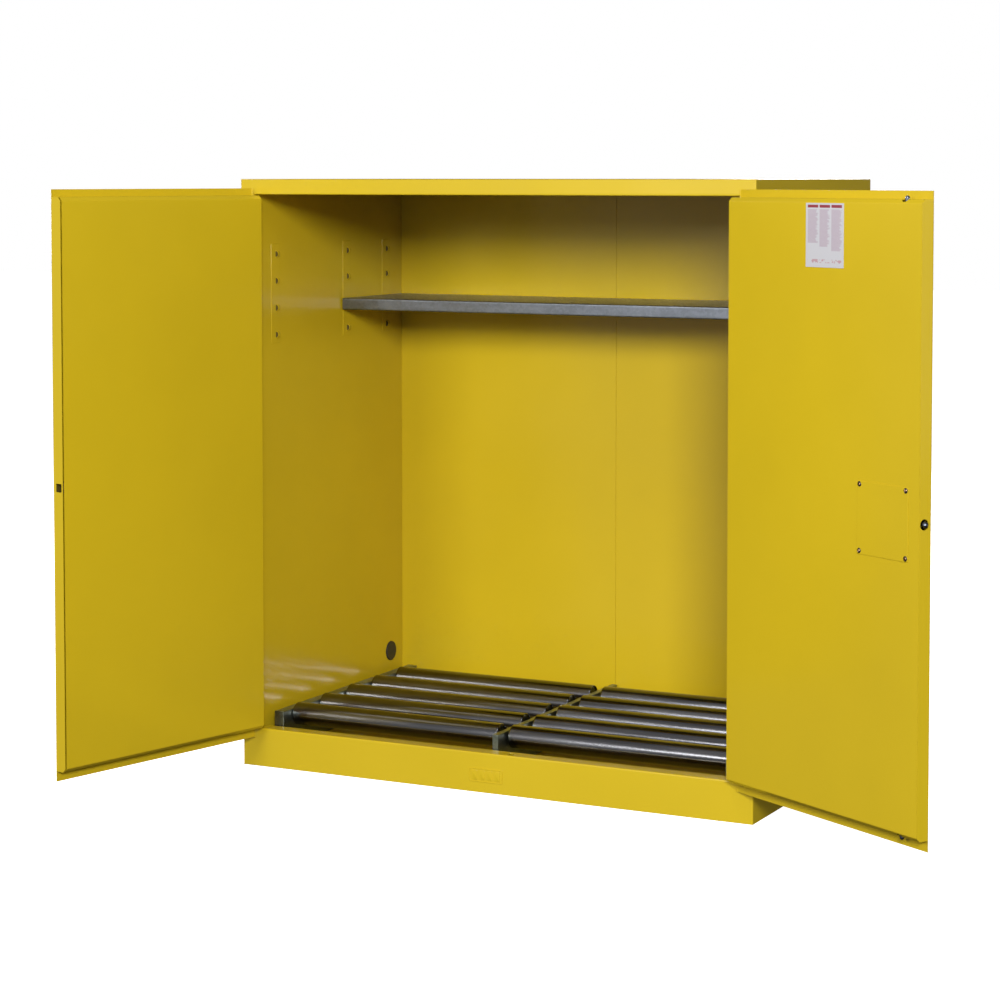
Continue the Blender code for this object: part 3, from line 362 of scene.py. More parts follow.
def labelFilm():
    # Printed film read from the label's UV map: columns of plain bars under dark heads, with no lettering.
    bench = NodeBench("labelFilm")
    p = labelPrint
    across = bench.add("SeparateXYZ", Vector=bench.add("UVMap").outputs["UV"])
    u, v = across.outputs["X"], across.outputs["Y"]
    inner = bench.maths("DIVIDE", bench.maths("SUBTRACT", u, p["margin"]), 1.0 - 2 * p["margin"])
    column = bench.maths("MULTIPLY", inner, float(p["columns"]))
    number, within = bench.maths("FLOOR", column), bench.maths("FRACT", column)
    gap = p["gutter"] * p["columns"]
    printed = bench.times(bench.between(within, gap, 1.0 - gap), bench.between(inner, 0.0, 1.0))
    head = bench.between(v, p["headTop"] - p["headHeight"], p["headTop"])
    row = bench.maths("DIVIDE", bench.maths("SUBTRACT", p["linesTop"], v), p["linePitch"])
    bars = bench.maths("LESS_THAN", bench.maths("FRACT", row), p["lineShare"])
    # Each column stops at its own height, and each bar at its own length.
    seat = bench.add("CombineXYZ", X=number, Y=bench.maths("FLOOR", row))
    chance = bench.add("TexWhiteNoise", Vector=seat.outputs["Vector"])
    full = bench.maths("LESS_THAN", within, bench.ramp(chance.outputs["Value"], p["shortest"], 1.0 - gap))
    end, step = p["linesEnd"]
    stop = bench.maths("SUBTRACT", end, bench.maths("MULTIPLY", number, step))
    block = bench.times(bars, full, bench.between(v, stop, p["linesTop"]))
    blots = bench.maths("GREATER_THAN", bench.noise(120.0, 1.0), 0.52)
    foot = bench.times(bench.between(v, *p["footBand"]), blots)
    tone = bench.blend(bench.times(printed, block), bench.colour, p["lineInk"])
    tone = bench.blend(bench.times(printed, head), tone, p["headInk"])
    tone = bench.blend(bench.times(printed, foot), tone, p["footInk"])
    bench.paint(Base_Color=tone)
    bench.paint(Roughness=bench.cloud(30.0, 3.0, 0.38, 0.52))
    bench.paint(Normal=bench.pimples(45.0, 0.00012))
    return bench.material


materials = {
    "yellowEnamel": yellowEnamel(),
    "galvanised": galvanised("galvanised"),
    "railZinc": galvanised("railZinc"),
    "rollerSteel": rollerSteel(),
    "brightSteel": turnedSteel("brightSteel", 700.0),
    "screwSteel": turnedSteel("screwSteel", 900.0),
    "zincPlate": turnedSteel("zincPlate", 500.0),
    "blackEnamel": blackEnamel(),
    "shadedEnamel": shadedEnamel(),
    "labelFilm": labelFilm(),
}
slotMaterial = {
    "yellow_enamel": "yellowEnamel",
    "galvanised_steel": "galvanised",
    "polished_steel": "rollerSteel",
    "bright_steel": "brightSteel",
    "black_enamel": "blackEnamel",
    "zinc_plate": "zincPlate",
    "label_film": "labelFilm",
}
materialSlot = {finish: slot for slot, finish in slotMaterial.items()}
materialSlot["screwSteel"] = "bright_steel"
materialSlot["railZinc"] = "galvanised_steel"
materialSlot["shadedEnamel"] = "yellow_enamel"
slotOf = {row["node"]: row["material_slot"] for row in frame["record"]["subparts"]}
for nodeName, cadNode in frame["nodes"].items():
    finish = materials[slotMaterial[slotOf[nodeName]]]
    if not cadNode.material_slots:
        cadNode.data.materials.append(finish)
    for seat in cadNode.material_slots:
        seat.material = finish
print("materials ready:", len(materials))


bodyOf = {node: body for body, nodes in frame["record"]["behaviour"]["bodies"].items() for node in nodes}
creaseAngle = 34.0  # steeper edges than this are shaded sharp


def stacked(*parts):
    return np.stack(parts, axis=-1)


def gridFaces(rows, columns, closeRows=False, closeColumns=True):
    # Quads between neighbouring rows and columns of a grid of points, as one index array.
    r = np.arange(rows if closeRows else rows - 1)[:, None]
    c = np.arange(columns if closeColumns else columns - 1)[None, :]
    nextR, nextC = (r + 1) % rows, (c + 1) % columns
    quads = [r * columns + c, r * columns + nextC, nextR * columns + nextC, nextR * columns + c]
    return np.stack([np.broadcast_to(q, (r.size, c.size)) for q in quads], axis=-1).reshape(-1, 4)


def newPiece(name, points, faces, finish, body, replaced=(), crease=creaseAngle, uv=None):
    # Mesh from arrays: doubles merged, empty faces dropped, and turned outward if its volume is negative.
    points = np.asarray(points, float).reshape(-1, 3)
    mesh = bpy.data.meshes.new(name)
    mesh.from_pydata(points.tolist(), [], [list(map(int, face)) for face in faces])
    if uv is not None:
        layer = mesh.uv_layers.new(name="UVMap")
        corners = np.empty(len(mesh.loops), np.int32)
        mesh.loops.foreach_get("vertex_index", corners)
        layer.data.foreach_set("uv", np.asarray(uv, np.float32)[corners].ravel())
    tidy = bmesh.new()
    tidy.from_mesh(mesh)
    bmesh.ops.remove_doubles(tidy, verts=tidy.verts, dist=2e-6)
    bmesh.ops.dissolve_degenerate(tidy, dist=2e-6, edges=tidy.edges)
    if tidy.calc_volume(signed=True) < 0:
        bmesh.ops.reverse_faces(tidy, faces=tidy.faces)
    tidy.to_mesh(mesh)
    tidy.free()
    mesh.materials.append(materials[finish])
    return placedPiece(name, mesh, body, replaced, crease)


def placedPiece(name, mesh, body, replaced, crease):
    mesh.shade_smooth()
    mesh.set_sharp_from_angle(angle=radians(crease))
    piece = bpy.data.objects.new(name, mesh)
    bpy.context.scene.collection.objects.link(piece)
    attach(piece, body)
    if replaced:
        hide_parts(*replaced)
    return piece


def easedCopy(name, node, width):
    # The CAD part merged into one skin, its flat faces made whole, with its sharp edges turned over.
    mesh = frame["nodes"][node].data.copy()
    tidy = bmesh.new()
    tidy.from_mesh(mesh)
    bmesh.ops.remove_doubles(tidy, verts=tidy.verts, dist=1e-6)
    bmesh.ops.dissolve_limit(tidy, angle_limit=radians(0.5), verts=tidy.verts, edges=tidy.edges)
    tidy.to_mesh(mesh)
    tidy.free()
    piece = placedPiece(name, mesh, bodyOf[node], [node], 180.0)
    ease = piece.modifiers.new("ease", "BEVEL")
    ease.width = width
    ease.segments = 3
    ease.angle_limit = radians(30)
    ease.harden_normals = True
    return piece


def foldedLoop(corners, radius, thickness, steps=6):
    # Outer face walked with the outside on the right. At each corner both faces are arcs about one centre,
    # and a point one radius further on keeps the flats flat. Gives both faces, from start to end.
    corners = np.asarray(corners, float)
    ways = np.diff(corners, axis=0)
    ways /= np.linalg.norm(ways, axis=1)[:, None]
    lefts = np.stack([-ways[:, 1], ways[:, 0]], axis=1)
    outer, inner = [corners[:1]], [corners[:1] + thickness * lefts[:1]]
    for corner, way, onward, left, leftOn in zip(corners[1:-1], ways, ways[1:], lefts, lefts[1:]):
        turn = atan2(way[0] * onward[1] - way[1] * onward[0], way @ onward)
        side = np.sign(turn)
        back = radius * tan(abs(turn) / 2)
        centre = corner - way * back + side * left * radius
        angle = np.linspace(0.0, turn, steps + 1)[:, None]
        spoke = -side * left
        arc = np.cos(angle) * spoke + np.sin(angle) * np.array([-spoke[1], spoke[0]])
        before, after = corner - way * (back + radius), corner + onward * (back + radius)
        outer.append(np.vstack([before, centre + radius * arc, after]))
        innerArc = centre + (radius - side * thickness) * arc
        inner.append(np.vstack([before + thickness * left, innerArc, after + thickness * leftOn]))
    outer.append(corners[-1:])
    inner.append(corners[-1:] + thickness * lefts[-1:])
    return np.concatenate(outer), np.concatenate(inner)


def carried(outer, inner, stations, place, limit=None):
    # The folded section repeated at each station. A limit caps its second coordinate station by station.
    section = np.concatenate([outer, inner[::-1]])
    rows = np.repeat(section[None], len(stations), axis=0)
    if limit is not None:
        rows[:, :, 1] = np.minimum(rows[:, :, 1], np.asarray(limit)[:, None])
    count = len(outer)
    along = np.broadcast_to(np.asarray(stations, float)[:, None], rows.shape[:2])
    points = place(rows[..., 0].ravel(), rows[..., 1].ravel(), along.ravel())
    sides = gridFaces(len(stations), len(section))
    i = np.arange(count - 1)
    cap = stacked(i, i + 1, 2 * count - 2 - i, 2 * count - 1 - i)
    last = (len(stations) - 1) * len(section)
    return points, np.concatenate([sides, cap[:, ::-1], cap + last])


def alongX(a, b, c):
    return stacked(c, a, b)  # section in (y, z)


def alongZ(a, b, c):
    return stacked(a, b, c)  # section in (x, y)


def roundedOutline(width, height, radius, steps=6):
    # Rectangle with round corners about its middle, anticlockwise, with the outward direction at each point.
    angle = np.linspace(0.0, pi / 2, steps + 1)[None, :] + np.arange(4)[:, None] * pi / 2
    out = stacked(np.cos(angle), np.sin(angle)).reshape(-1, 2)
    signs = np.array([(1, 1), (-1, 1), (-1, -1), (1, -1)], float)
    centres = signs * (np.array([width, height]) / 2 - radius)
    return np.repeat(centres, steps + 1, axis=0) + radius * out, out


def roundOutline(radius, count=32):
    angle = np.arange(count) * 2 * pi / count
    out = stacked(np.cos(angle), np.sin(angle))
    return radius * out, out


def ringed(outline, out, rings):
    # Stack of rings, each the outline drawn in by an inset and set at a level, with a flat cap at both ends.
    rings = np.asarray(rings, float)
    flat = outline[None] - rings[:, :1, None] * out[None]
    level = np.broadcast_to(rings[:, 1][:, None, None], flat.shape[:2] + (1,))
    points = np.concatenate([flat, level], axis=-1).reshape(-1, 3)
    count = len(outline)
    faces = [list(face) for face in gridFaces(len(rings), count)]
    faces.append(list(range(count))[::-1])
    faces.append([(len(rings) - 1) * count + k for k in range(count)])
    return points, faces


def plateRings(thickness, edge, steps=4):
    # Insets and levels of a plate whose rims are rounded by quarter circles, with one more ring on each flat.
    angle = np.linspace(0.0, pi / 2, steps + 1)
    low = stacked(edge - edge * np.sin(angle), edge - edge * np.cos(angle))
    low = np.concatenate([[(1.8 * edge, 0.0)], low])
    high = stacked(low[::-1, 0], thickness - low[::-1, 1])
    return np.concatenate([low, high])


def plate(width, height, corner, cornerSteps, thickness, edge, edgeSteps):
    # Flat plate about its middle, with round corners and rounded rims, its level up from its first face.
    outline, out = roundedOutline(width, height, corner, cornerSteps)
    return ringed(outline, out, plateRings(thickness, edge, edgeSteps))


def turnedGrid(profile, count=32, wobble=None):
    # Profile of (radius, level) spun about the level axis. A wobble adds to the radius.
    profile = np.asarray(profile, float)
    angle = np.arange(count) * 2 * pi / count
    radius = np.broadcast_to(profile[:, :1], (len(profile), count)).copy()
    if wobble is not None:
        radius += wobble(angle[None, :], profile[:, 1:2], radius)
    level = np.broadcast_to(profile[:, 1:2], radius.shape)
    return stacked(radius * np.cos(angle), radius * np.sin(angle), level).reshape(-1, 3)


def turnedFaces(rows, count=32, closed=False):
    return gridFaces(rows, count, closeRows=closed)


def joined(shapes):
    # Several (points, faces) pairs as one, with the faces' numbers moved on.
    points, faces, start = [], [], 0
    for shapePoints, shapeFaces in shapes:
        points.append(shapePoints)
        faces.extend([[int(k) + start for k in face] for face in shapeFaces])
        start += len(shapePoints)
    return np.concatenate(points), faces


def pierced(piece, *cutters):
    # Cuts closed shapes, given as (points, faces), out of a piece and keeps the result as its mesh.
    for points, faces in cutters:
        mesh = bpy.data.meshes.new("cutter")
        mesh.from_pydata(points.tolist(), [], [list(map(int, face)) for face in faces])
        shape = bmesh.new()
        shape.from_mesh(mesh)
        if shape.calc_volume(signed=True) < 0:
            bmesh.ops.reverse_faces(shape, faces=shape.faces)
        shape.to_mesh(mesh)
        shape.free()
        cutter = bpy.data.objects.new("cutter", mesh)
        bpy.context.scene.collection.objects.link(cutter)
        change = piece.modifiers.new("hole", "BOOLEAN")
        change.operation = "DIFFERENCE"
        change.solver = "EXACT"
        change.object = cutter
        bpy.context.view_layer.update()
        result = bpy.data.meshes.new_from_object(piece.evaluated_get(bpy.context.evaluated_depsgraph_get()))
        piece.modifiers.clear()
        result.name = piece.name
        piece.data = result
        bpy.data.objects.remove(cutter)
    piece.data.shade_smooth()
    piece.data.set_sharp_from_angle(angle=radians(creaseAngle))
    return piece


def laid(place, points):
    # A shape's points, given in its own axes, where place puts them.
    return place(points[:, 0], points[:, 1], points[:, 2])


def rodShape(radius, start, end, place, count=28):
    # A plain closed rod between two levels, put where place says.
    outline, out = roundOutline(radius, count)
    points, faces = ringed(outline, out, [(0.0, start), (0.0, end)])
    return laid(place, points), faces


sheetGauge = 0.0015
roof, leftOuter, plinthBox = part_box("roof_panel"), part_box("outer_left_side"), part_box("front_plinth")
headerBox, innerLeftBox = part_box("header_rail"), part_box("inner_left_side")
backBox, sumpBox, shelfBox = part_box("inner_back"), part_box("sump_pan"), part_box("shelf")
cabinet = {
    "side": roof[1].x,
    "front": roof[0].y,
    "back": roof[1].y,
    "innerSide": backBox[1].x + 0.0003,
    "innerBack": backBox[0].y,
    "sillTop": plinthBox[1].z,
    "sillBack": plinthBox[1].y,
    "bend": 0.003,
    "postReturn": 0.025,
}
ventShape = {"hole": 0.0298, "ribs": 30, "ribDepth": 0.0009, "ribbedFrom": 0.0330}
vents = {
    "left": {"sign": -1, "box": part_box("left_vent")},
    "right": {"sign": 1, "box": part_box("right_vent")},
}
for vent in vents.values():
    ventLow, ventHigh = vent["box"]
    vent["y"], vent["z"] = (ventLow.y + ventHigh.y) / 2, (ventLow.z + ventHigh.z) / 2


def ventCutter(vent, start, end):
    def place(a, b, c):
        return stacked(vent["sign"] * c, vent["y"] + a, vent["z"] + b)
    return rodShape(ventShape["hole"], start, end, place)


def bodySheets():
    c = cabinet
    side, inner, front, back = c["side"], c["innerSide"], c["front"], c["back"]
    foot, head = plinthBox[0].z, leftOuter[1].z
    for word, sign in (("left", -1), ("right", 1)):
        # Side wall that turns the front corner as the door post and folds back into the wall.
        path = [(-side, back), (-side, front), (-inner, front), (-inner, front + c["postReturn"])]
        outer, innerFace = foldedLoop(path, c["bend"], sheetGauge)
        points, faces = carried(outer, innerFace, [foot, head], alongZ)
        points[:, 0] *= -sign
        name = f"outer_{word}_side"
        piece = newPiece(f"{word}SideSheet", points, faces, "yellowEnamel", "cabinet", [name])
        pierced(piece, ventCutter(vents[word], side - 0.02, side + 0.02))
    under, deep = headerBox[0].z, headerBox[1].y
    reach = inner + c["bend"]  # flush over the posts' bend, as a ground weld is
    path = [(front, head), (front, under), (deep, under)]
    points, faces = carried(*foldedLoop(path, c["bend"], sheetGauge), [-reach, reach], alongX)
    header = newPiece("headerRail", points, faces, "yellowEnamel", "cabinet", ["header_rail"])
    path = [(c["sillBack"], 0.052), (c["sillBack"], c["sillTop"]), (front, c["sillTop"]), (front, foot)]
    points, faces = carried(*foldedLoop(path, c["bend"], sheetGauge), [-reach, reach], alongX)
    plinth = newPiece("frontPlinth", points, faces, "yellowEnamel", "cabinet", ["front_plinth"])
    return header, plinth


headerPiece, plinthPiece = bodySheets()

backSeam = {"gap": 0.0009, "lip": 0.010, "lipThickness": 0.0012}


def innerBack():
    # Two back sheets that meet in the middle over a backing strip, so the joint reads as a fine upright line.
    low, high = backBox
    seam, height, level = backSeam, high.z - low.z, (low.z + high.z) / 2
    shapes = []
    for start, end in ((low.x, -seam["gap"] / 2), (seam["gap"] / 2, high.x)):
        points, faces = plate(end - start, height, 0.001, 2, high.y - low.y, 0.0004, 2)
        middle = (start + end) / 2
        sheet = stacked(middle + points[:, 0], low.y + points[:, 2], level + points[:, 1])
        shapes.append((sheet, faces))
    outline, out = roundedOutline(2 * seam["lip"], height, 0.001, 2)
    points, faces = ringed(outline, out, [(0, 0), (0, seam["lipThickness"])])
    strip = stacked(points[:, 0], high.y + 0.0001 + points[:, 2], level + points[:, 1])
    shapes.append((strip, faces))
    newPiece("innerBackSheets", *joined(shapes), "yellowEnamel", "cabinet", ["inner_back"])


innerBack()

standards = {
    "columns": (cabinet["front"] + 0.113, shelfBox[0].y + 0.031, cabinet["innerBack"] - 0.099),
    "width": 0.046,
    "raise": 0.0011,
    "below": 0.112,
    "above": 0.169,
    "tabPitch": 0.0762,
    "tabRows": (-1, 0, 1, 2),
    "tabRadius": 0.0095,
    "tabHeight": 0.018,
    "tabReach": 0.0100,
    "tabTurn": 90.0,
    "tabDrop": 0.0106,  # from the shelf's underside to a tab's middle
    "mouthShare": 0.86,
}


def tabShape(place):
    # A lanced hood: half-round and open at its mouth with a pocket inside, drawn in to the wall along a
    # quarter ellipse. Each row of the grid is the half round at one distance from the mouth and one share
    # of its size.
    s = standards
    rows = np.array([(0.50, 0.45), (0.0, 0.72), (0.0, 1.0), *((k / 8, 1.0) for k in range(1, 9))])
    away, share = rows[:, :1], rows[:, 1:]
    angle = np.linspace(0.0, pi, 15)[None, :]
    swell = np.sqrt(np.maximum(1.0 - away ** 2, 0.0)) * share
    across = s["tabRadius"] * (0.35 * share + 0.65 * swell) * np.cos(angle)
    proud = s["tabReach"] * swell * np.sin(angle) - 0.0004
    along = s["tabHeight"] * away + 0.0 * angle
    turn = radians(s["tabTurn"])
    points = stacked(
        across * cos(turn) + along * sin(turn),
        proud,
        along * cos(turn) - across * sin(turn),
    ).reshape(-1, 3)
    faces = [list(face) for face in gridFaces(len(rows), 15)]
    faces.append(list(range(15)))
    faces.append([(len(rows) - 1) * 15 + k for k in range(15)][::-1])
    return laid(place, points), faces


def innerSides():
    s, c = standards, cabinet
    shelfTop = shelfBox[1].z
    low, high = innerLeftBox
    for word, sign in (("left", -1), ("right", 1)):
        points, faces = plate(high.y - low.y, high.z - low.z, 0.0015, 2, sheetGauge, 0.0003, 2)
        wall = stacked(
            sign * (c["innerSide"] + points[:, 2]),
            (low.y + high.y) / 2 + points[:, 0],
            (low.z + high.z) / 2 + points[:, 1],
        )
        piece = newPiece(f"{word}WallSheet", wall, faces, "yellowEnamel", "cabinet", [f"inner_{word}_side"])
        pierced(piece, ventCutter(vents[word], c["innerSide"] - 0.02, c["innerSide"] + 0.02))
        strips, tabs, mouthShades = [], [], []
        for y in s["columns"]:
            tall = s["above"] + s["below"]
            points, faces = plate(s["width"], tall, 0.003, 4, 2 * s["raise"], 0.0012, 4)
            middle = shelfTop + (s["above"] - s["below"]) / 2
            inward = c["innerSide"] - s["raise"] + points[:, 2]
            strips.append((stacked(sign * inward, y + points[:, 0], middle + points[:, 1]), faces))
            for row in s["tabRows"]:
                top = shelfTop - sheetGauge - s["tabDrop"] + row * s["tabPitch"]

                def onStandard(along, proud, up, y=y, top=top):
                    return stacked(sign * (c["innerSide"] - s["raise"] - proud), y + along, top + up)
                tabs.append(tabShape(onStandard))
                # Each tab's mouth gets a thin dark half-round disc: painted shade that stands for the shadow in
                # the opening.
                outline, out = roundOutline(s["tabRadius"] * s["mouthShare"], 28)
                outline = outline * np.where(outline[:, 1:] > 0, [1.0, 0.95], [1.0, 0.0])
                points, faces = ringed(outline[:15], out[:15], [(0.0, 0.0), (0.0, 0.0003)])
                mouthShade = onStandard(-0.0001 - points[:, 2], points[:, 1] + 0.0002, points[:, 0])
                mouthShades.append((mouthShade, faces))
        newPiece(f"{word}Standards", *joined(strips), "yellowEnamel", "cabinet")
        newPiece(f"{word}ShelfTabs", *joined(tabs), "yellowEnamel", "cabinet", crease=50.0)
        newPiece(f"{word}TabMouthShades", *joined(mouthShades), "shadedEnamel", "cabinet")


innerSides()
print("body sheets done")

sumpCorner = 0.006


def sumpTray():
    # Rings up the outside, over a rolled rim and down the inside to the tray's floor.
    low, high = sumpBox
    outline, out = roundedOutline(high.x - low.x, high.y - low.y, sumpCorner, 5)
    tall, gauge = high.z - low.z, sheetGauge
    rings = [
        (0.0025, 0.0), (0.0008, 0.0008), (0.0, 0.0025),
        (0.0, tall - 0.0006), (0.0004, tall), (gauge - 0.0004, tall), (gauge, tall - 0.0006),
        (gauge, gauge + 0.0030), (gauge + 0.0008, gauge + 0.0008), (gauge + 0.0030, gauge),
    ]
    points, faces = ringed(outline, out, rings)
    points += [(low.x + high.x) / 2, (low.y + high.y) / 2, low.z]
    newPiece("sumpTray", points, faces, "yellowEnamel", "cabinet", ["sump_pan"])


sumpTray()

namePlate = {"corner": 0.004, "border": 0.0025, "lift": 0.0011, "panel": (0.0165, 0.026), "pitch": 0.0225}


def blankPlate():
    # A blank pressed plate: a raised rim round a sunk field with four plain raised panels.
    low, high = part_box("blank_name_plate")
    n = namePlate
    width, height, thick = high.x - low.x, high.z - low.z, high.y - low.y
    outline, out = roundedOutline(width, height, n["corner"], 6)
    rings = [(0.0, 0.0), (0.0, thick - 0.0003), (0.0003, thick), (n["border"] - 0.0004, thick)]
    rings += [(n["border"], thick - n["lift"])]
    field, fieldFaces = ringed(outline, out, rings)
    shapes = [(field, fieldFaces)]
    for x in np.arange(-1.5, 2.0) * n["pitch"]:
        outline, out = roundedOutline(*n["panel"], 0.002, 4)
        points, faces = ringed(outline, out, [(0.0, 0.0), (0.0, thick - 0.0002), (0.0003, thick)])
        shapes.append((points + [x, 0.0, 0.0], faces))
    points, faces = joined(shapes)
    middle = (low.z + high.z) / 2
    place = stacked(points[:, 0], high.y - points[:, 2], middle + points[:, 1])
    newPiece("blankNamePlate", place, faces, "yellowEnamel", "cabinet", ["blank_name_plate"])


blankPlate()

shelfShape = {"bend": 0.003, "hem": 0.010, "endFlange": 0.030, "rib": (0.050, 0.014)}


def steelShelf():
    # Folded front and back, with a flange turned down at each end and a hat rib under the middle.
    low, high = shelfBox
    s = shelfShape
    path = [
        (high.y - s["hem"], low.z),
        (high.y, low.z),
        (high.y, high.z),
        (low.y, high.z),
        (low.y, low.z),
        (low.y + s["hem"], low.z),
    ]
    points, faces = carried(*foldedLoop(path, s["bend"], sheetGauge), [low.x, high.x], alongX)
    newPiece("shelfSheet", points, faces, "galvanised", "shelf", ["shelf"])
    top, middle = high.z - sheetGauge - 0.0002, (low.y + high.y) / 2
    shapes = []
    for sign in (-1, 1):
        points, faces = plate(high.y - low.y - 0.008, s["endFlange"], 0.003, 4, sheetGauge, 0.0004, 2)
        x, z = sign * (high.x - 0.0002 - points[:, 2]), top - s["endFlange"] / 2 + points[:, 1]
        shapes.append((stacked(x, middle + points[:, 0], z), faces))
    wide, deep = s["rib"]
    path = [(middle - wide, top), (middle - wide / 2, top), (middle - wide / 2, top - deep)]
    path += [(middle + wide / 2, top - deep), (middle + wide / 2, top), (middle + wide, top)]
    shapes.append(carried(*foldedLoop(path, 0.0025, -0.0012), [low.x + 0.02, high.x - 0.02], alongX))
    newPiece("shelfEnds", *joined(shapes[:2]), "galvanised", "shelf")
    newPiece("shelfRib", *shapes[2], "galvanised", "shelf")


steelShelf()


doors = {}
for joint in frame["joints"]:
    if joint["name"] in ("left_door_swing", "right_door_swing"):
        word = joint["child"].split("_")[0]
        low, high = joint["range_deg"]
        opened = -high if word == "left" else -low
        doors[word] = {
            "hinge": joint["pos_m"][:2],
            "turn": radians(opened),
            "sign": 1.0 if word == "left" else -1.0,
            "body": joint["child"],
        }


def onDoor(word):
    # Door coordinates to the room: u from the hinge axis along the door, n in from its outer face, z up.
    door = doors[word]
    hingeX, hingeY = door["hinge"]
    c, s = cos(door["turn"]), sin(door["turn"])

    def place(u, n, z):
        x = door["sign"] * u
        return stacked(hingeX + c * x - s * n, hingeY + s * x + c * n, z + 0.0 * x)
    return place


def doorBox(word, node):
    # A node's lowest and highest corner in door coordinates.
    door = doors[word]
    mesh = frame["nodes"][node].data
    points = np.empty(len(mesh.vertices) * 3, np.float32)
    mesh.vertices.foreach_get("co", points)
    points = points.reshape(-1, 3).astype(float)
    c, s = cos(door["turn"]), sin(door["turn"])
    x, y = points[:, 0] - door["hinge"][0], points[:, 1] - door["hinge"][1]
    local = stacked(door["sign"] * (c * x + s * y), c * y - s * x, points[:, 2])
    return local.min(axis=0), local.max(axis=0)


doorShape = {
    "bend": 0.003,
    "lip": 0.003,
    "bevel": 0.009,
    "linerBend": 0.003,
    "linerFoot": 0.0026,  # the liner's inner edges off the outer face
    "grooveLeft": 0.0045,
    "grooveRight": 0.0004,
}


def doorSheets(word):
    d, place, body = doorShape, onDoor(word), doors[word]["body"]
    skinLow, skinHigh = doorBox(word, f"{word}_door_skin")
    linerLow, linerHigh = doorBox(word, f"{word}_door_liner")
    thick, hingeEdge, width = skinHigh[1], skinLow[0], skinHigh[0]
    # The outer sheet's sides reach the full thickness beside the box and stop at a short lip above and below.
    stations = [skinLow[2], linerLow[2], linerLow[2], linerLow[2] + d["bevel"]]
    limit = [d["lip"], d["lip"], thick - d["bevel"], thick]
    stations += [linerHigh[2] - d["bevel"], linerHigh[2], linerHigh[2], skinHigh[2]]
    limit += [thick, thick - d["bevel"], d["lip"], d["lip"]]
    path = [(hingeEdge, thick), (hingeEdge, 0.0), (width, 0.0), (width, thick)]
    points, faces = carried(*foldedLoop(path, d["bend"], sheetGauge), stations, place, limit)
    skin = newPiece(f"{word}DoorOuterSheet", points, faces, "yellowEnamel", body, [f"{word}_door_skin"])
    # The liner is bevelled at its top and bottom and folded towards the outer sheet.
    groove = d["groove" + word.capitalize()]
    bottom, top = linerLow[2], linerHigh[2]
    path = [
        (d["linerFoot"], bottom),
        (thick - d["bevel"], bottom),
        (thick, bottom + d["bevel"]),
        (thick, top - d["bevel"]),
        (thick - d["bevel"], top),
        (d["linerFoot"], top),
    ]
    ends = [hingeEdge + sheetGauge + d["grooveRight"], width - sheetGauge - groove]
    folded = foldedLoop(path, d["linerBend"], sheetGauge)
    points, faces = carried(*folded, ends, lambda a, b, c: place(c, a, b))
    liner = newPiece(f"{word}DoorLiner", points, faces, "yellowEnamel", body, [f"{word}_door_liner"])
    return skin, liner


leftSkin = doorSheets("left")[0]
rightSkin, rightLiner = doorSheets("right")
handleJoint = next(j for j in frame["joints"] if j["name"] == "handle_turn")
rightBox = doorBox("right", "right_door_skin")
latch = {
    "height": handleJoint["pos_m"][2],
    "depth": 0.022,
    "boltHole": 0.013,
    "rodHole": 0.0122,
    "spindleHole": 0.0045,
    "rodStrike": 0.009,
    "strike": 0.022,
    "strikeBox": 0.029,
    "opening": (0.150, 0.145),
    "screwSpread": (0.163, 0.159),
}
latch["u"] = rightBox[1][0] - 0.067


def rightDoorHoles():
    depth, height, along = latch["depth"], latch["height"], latch["u"]
    hingeX, hingeY = doors["right"]["hinge"]
    place, width = onDoor("right"), rightBox[1][0]

    def onShutRod(a, b, c):
        return stacked(hingeX - along + a, hingeY + depth + b, c)

    def onRod(a, b, c):
        return place(along + a, depth + b, c)

    # With the right door shut the rods stand in round holes in the header and the sill.
    for piece, z in ((headerPiece, headerBox[0].z), (plinthPiece, cabinet["sillTop"])):
        pierced(piece, rodShape(latch["rodStrike"], z - 0.01, z + 0.01, onShutRod, 24))
    edge = rodShape(
        latch["boltHole"], width - 0.012, width + 0.012, lambda a, b, c: place(c, depth + a, height + b)
    )
    face = rodShape(latch["spindleHole"], -0.01, 0.01, lambda a, b, c: place(along + a, c, height + b), 16)
    pierced(rightSkin, edge, face)
    linerLow, linerHigh = doorBox("right", "right_door_liner")
    rods = [rodShape(latch["rodHole"], z - 0.018, z + 0.018, onRod, 24) for z in (linerLow[2], linerHigh[2])]
    coverLow, coverHigh = doorBox("right", "latch_access_cover")
    middle = (coverLow + coverHigh) / 2
    outline, out = roundedOutline(*latch["opening"], 0.006, 4)
    points, faces = ringed(outline, out, [(0.0, 0.025), (0.0, 0.045)])
    window = place(middle[0] + points[:, 0], points[:, 2], middle[2] + points[:, 1])
    pierced(rightLiner, *rods, (window, faces))


def strikeOpening():
    # Square hole in the left door's edge, with a shallow box behind it: back plate and a rim round it, in painted
    # shade so the opening reads dark.
    place, width = onDoor("left"), doorBox("left", "left_door_skin")[1][0]
    outline, out = roundedOutline(latch["strike"], latch["strike"], 0.002, 4)
    points, faces = ringed(outline, out, [(0.0, width - 0.012), (0.0, width + 0.012)])
    hole = place(points[:, 2], latch["depth"] + points[:, 0], latch["height"] + points[:, 1])
    pierced(leftSkin, (hole, faces))
    outline, out = roundedOutline(latch["strikeBox"], latch["strikeBox"], 0.003, 4)
    points, faces = ringed(outline, out, [(0.0, 0.0), (0.0, 0.022), (0.0011, 0.022), (0.0011, 0.0012)])
    depth = latch["depth"] - 0.001 + points[:, 0] * 0.95
    box = place(width - 0.0245 + points[:, 2], depth, latch["height"] + points[:, 1])
    # painted shade: the box's dark colour stands for the shadow inside the opening
    newPiece("strikeBox", box, faces, "shadedEnamel", "left_door")


rightDoorHoles()
strikeOpening()
print("doors done")

screw = {"radius": 0.0042, "dome": 0.0022, "slot": 0.0009, "slotReach": 0.62, "slotDepth": 0.0013}


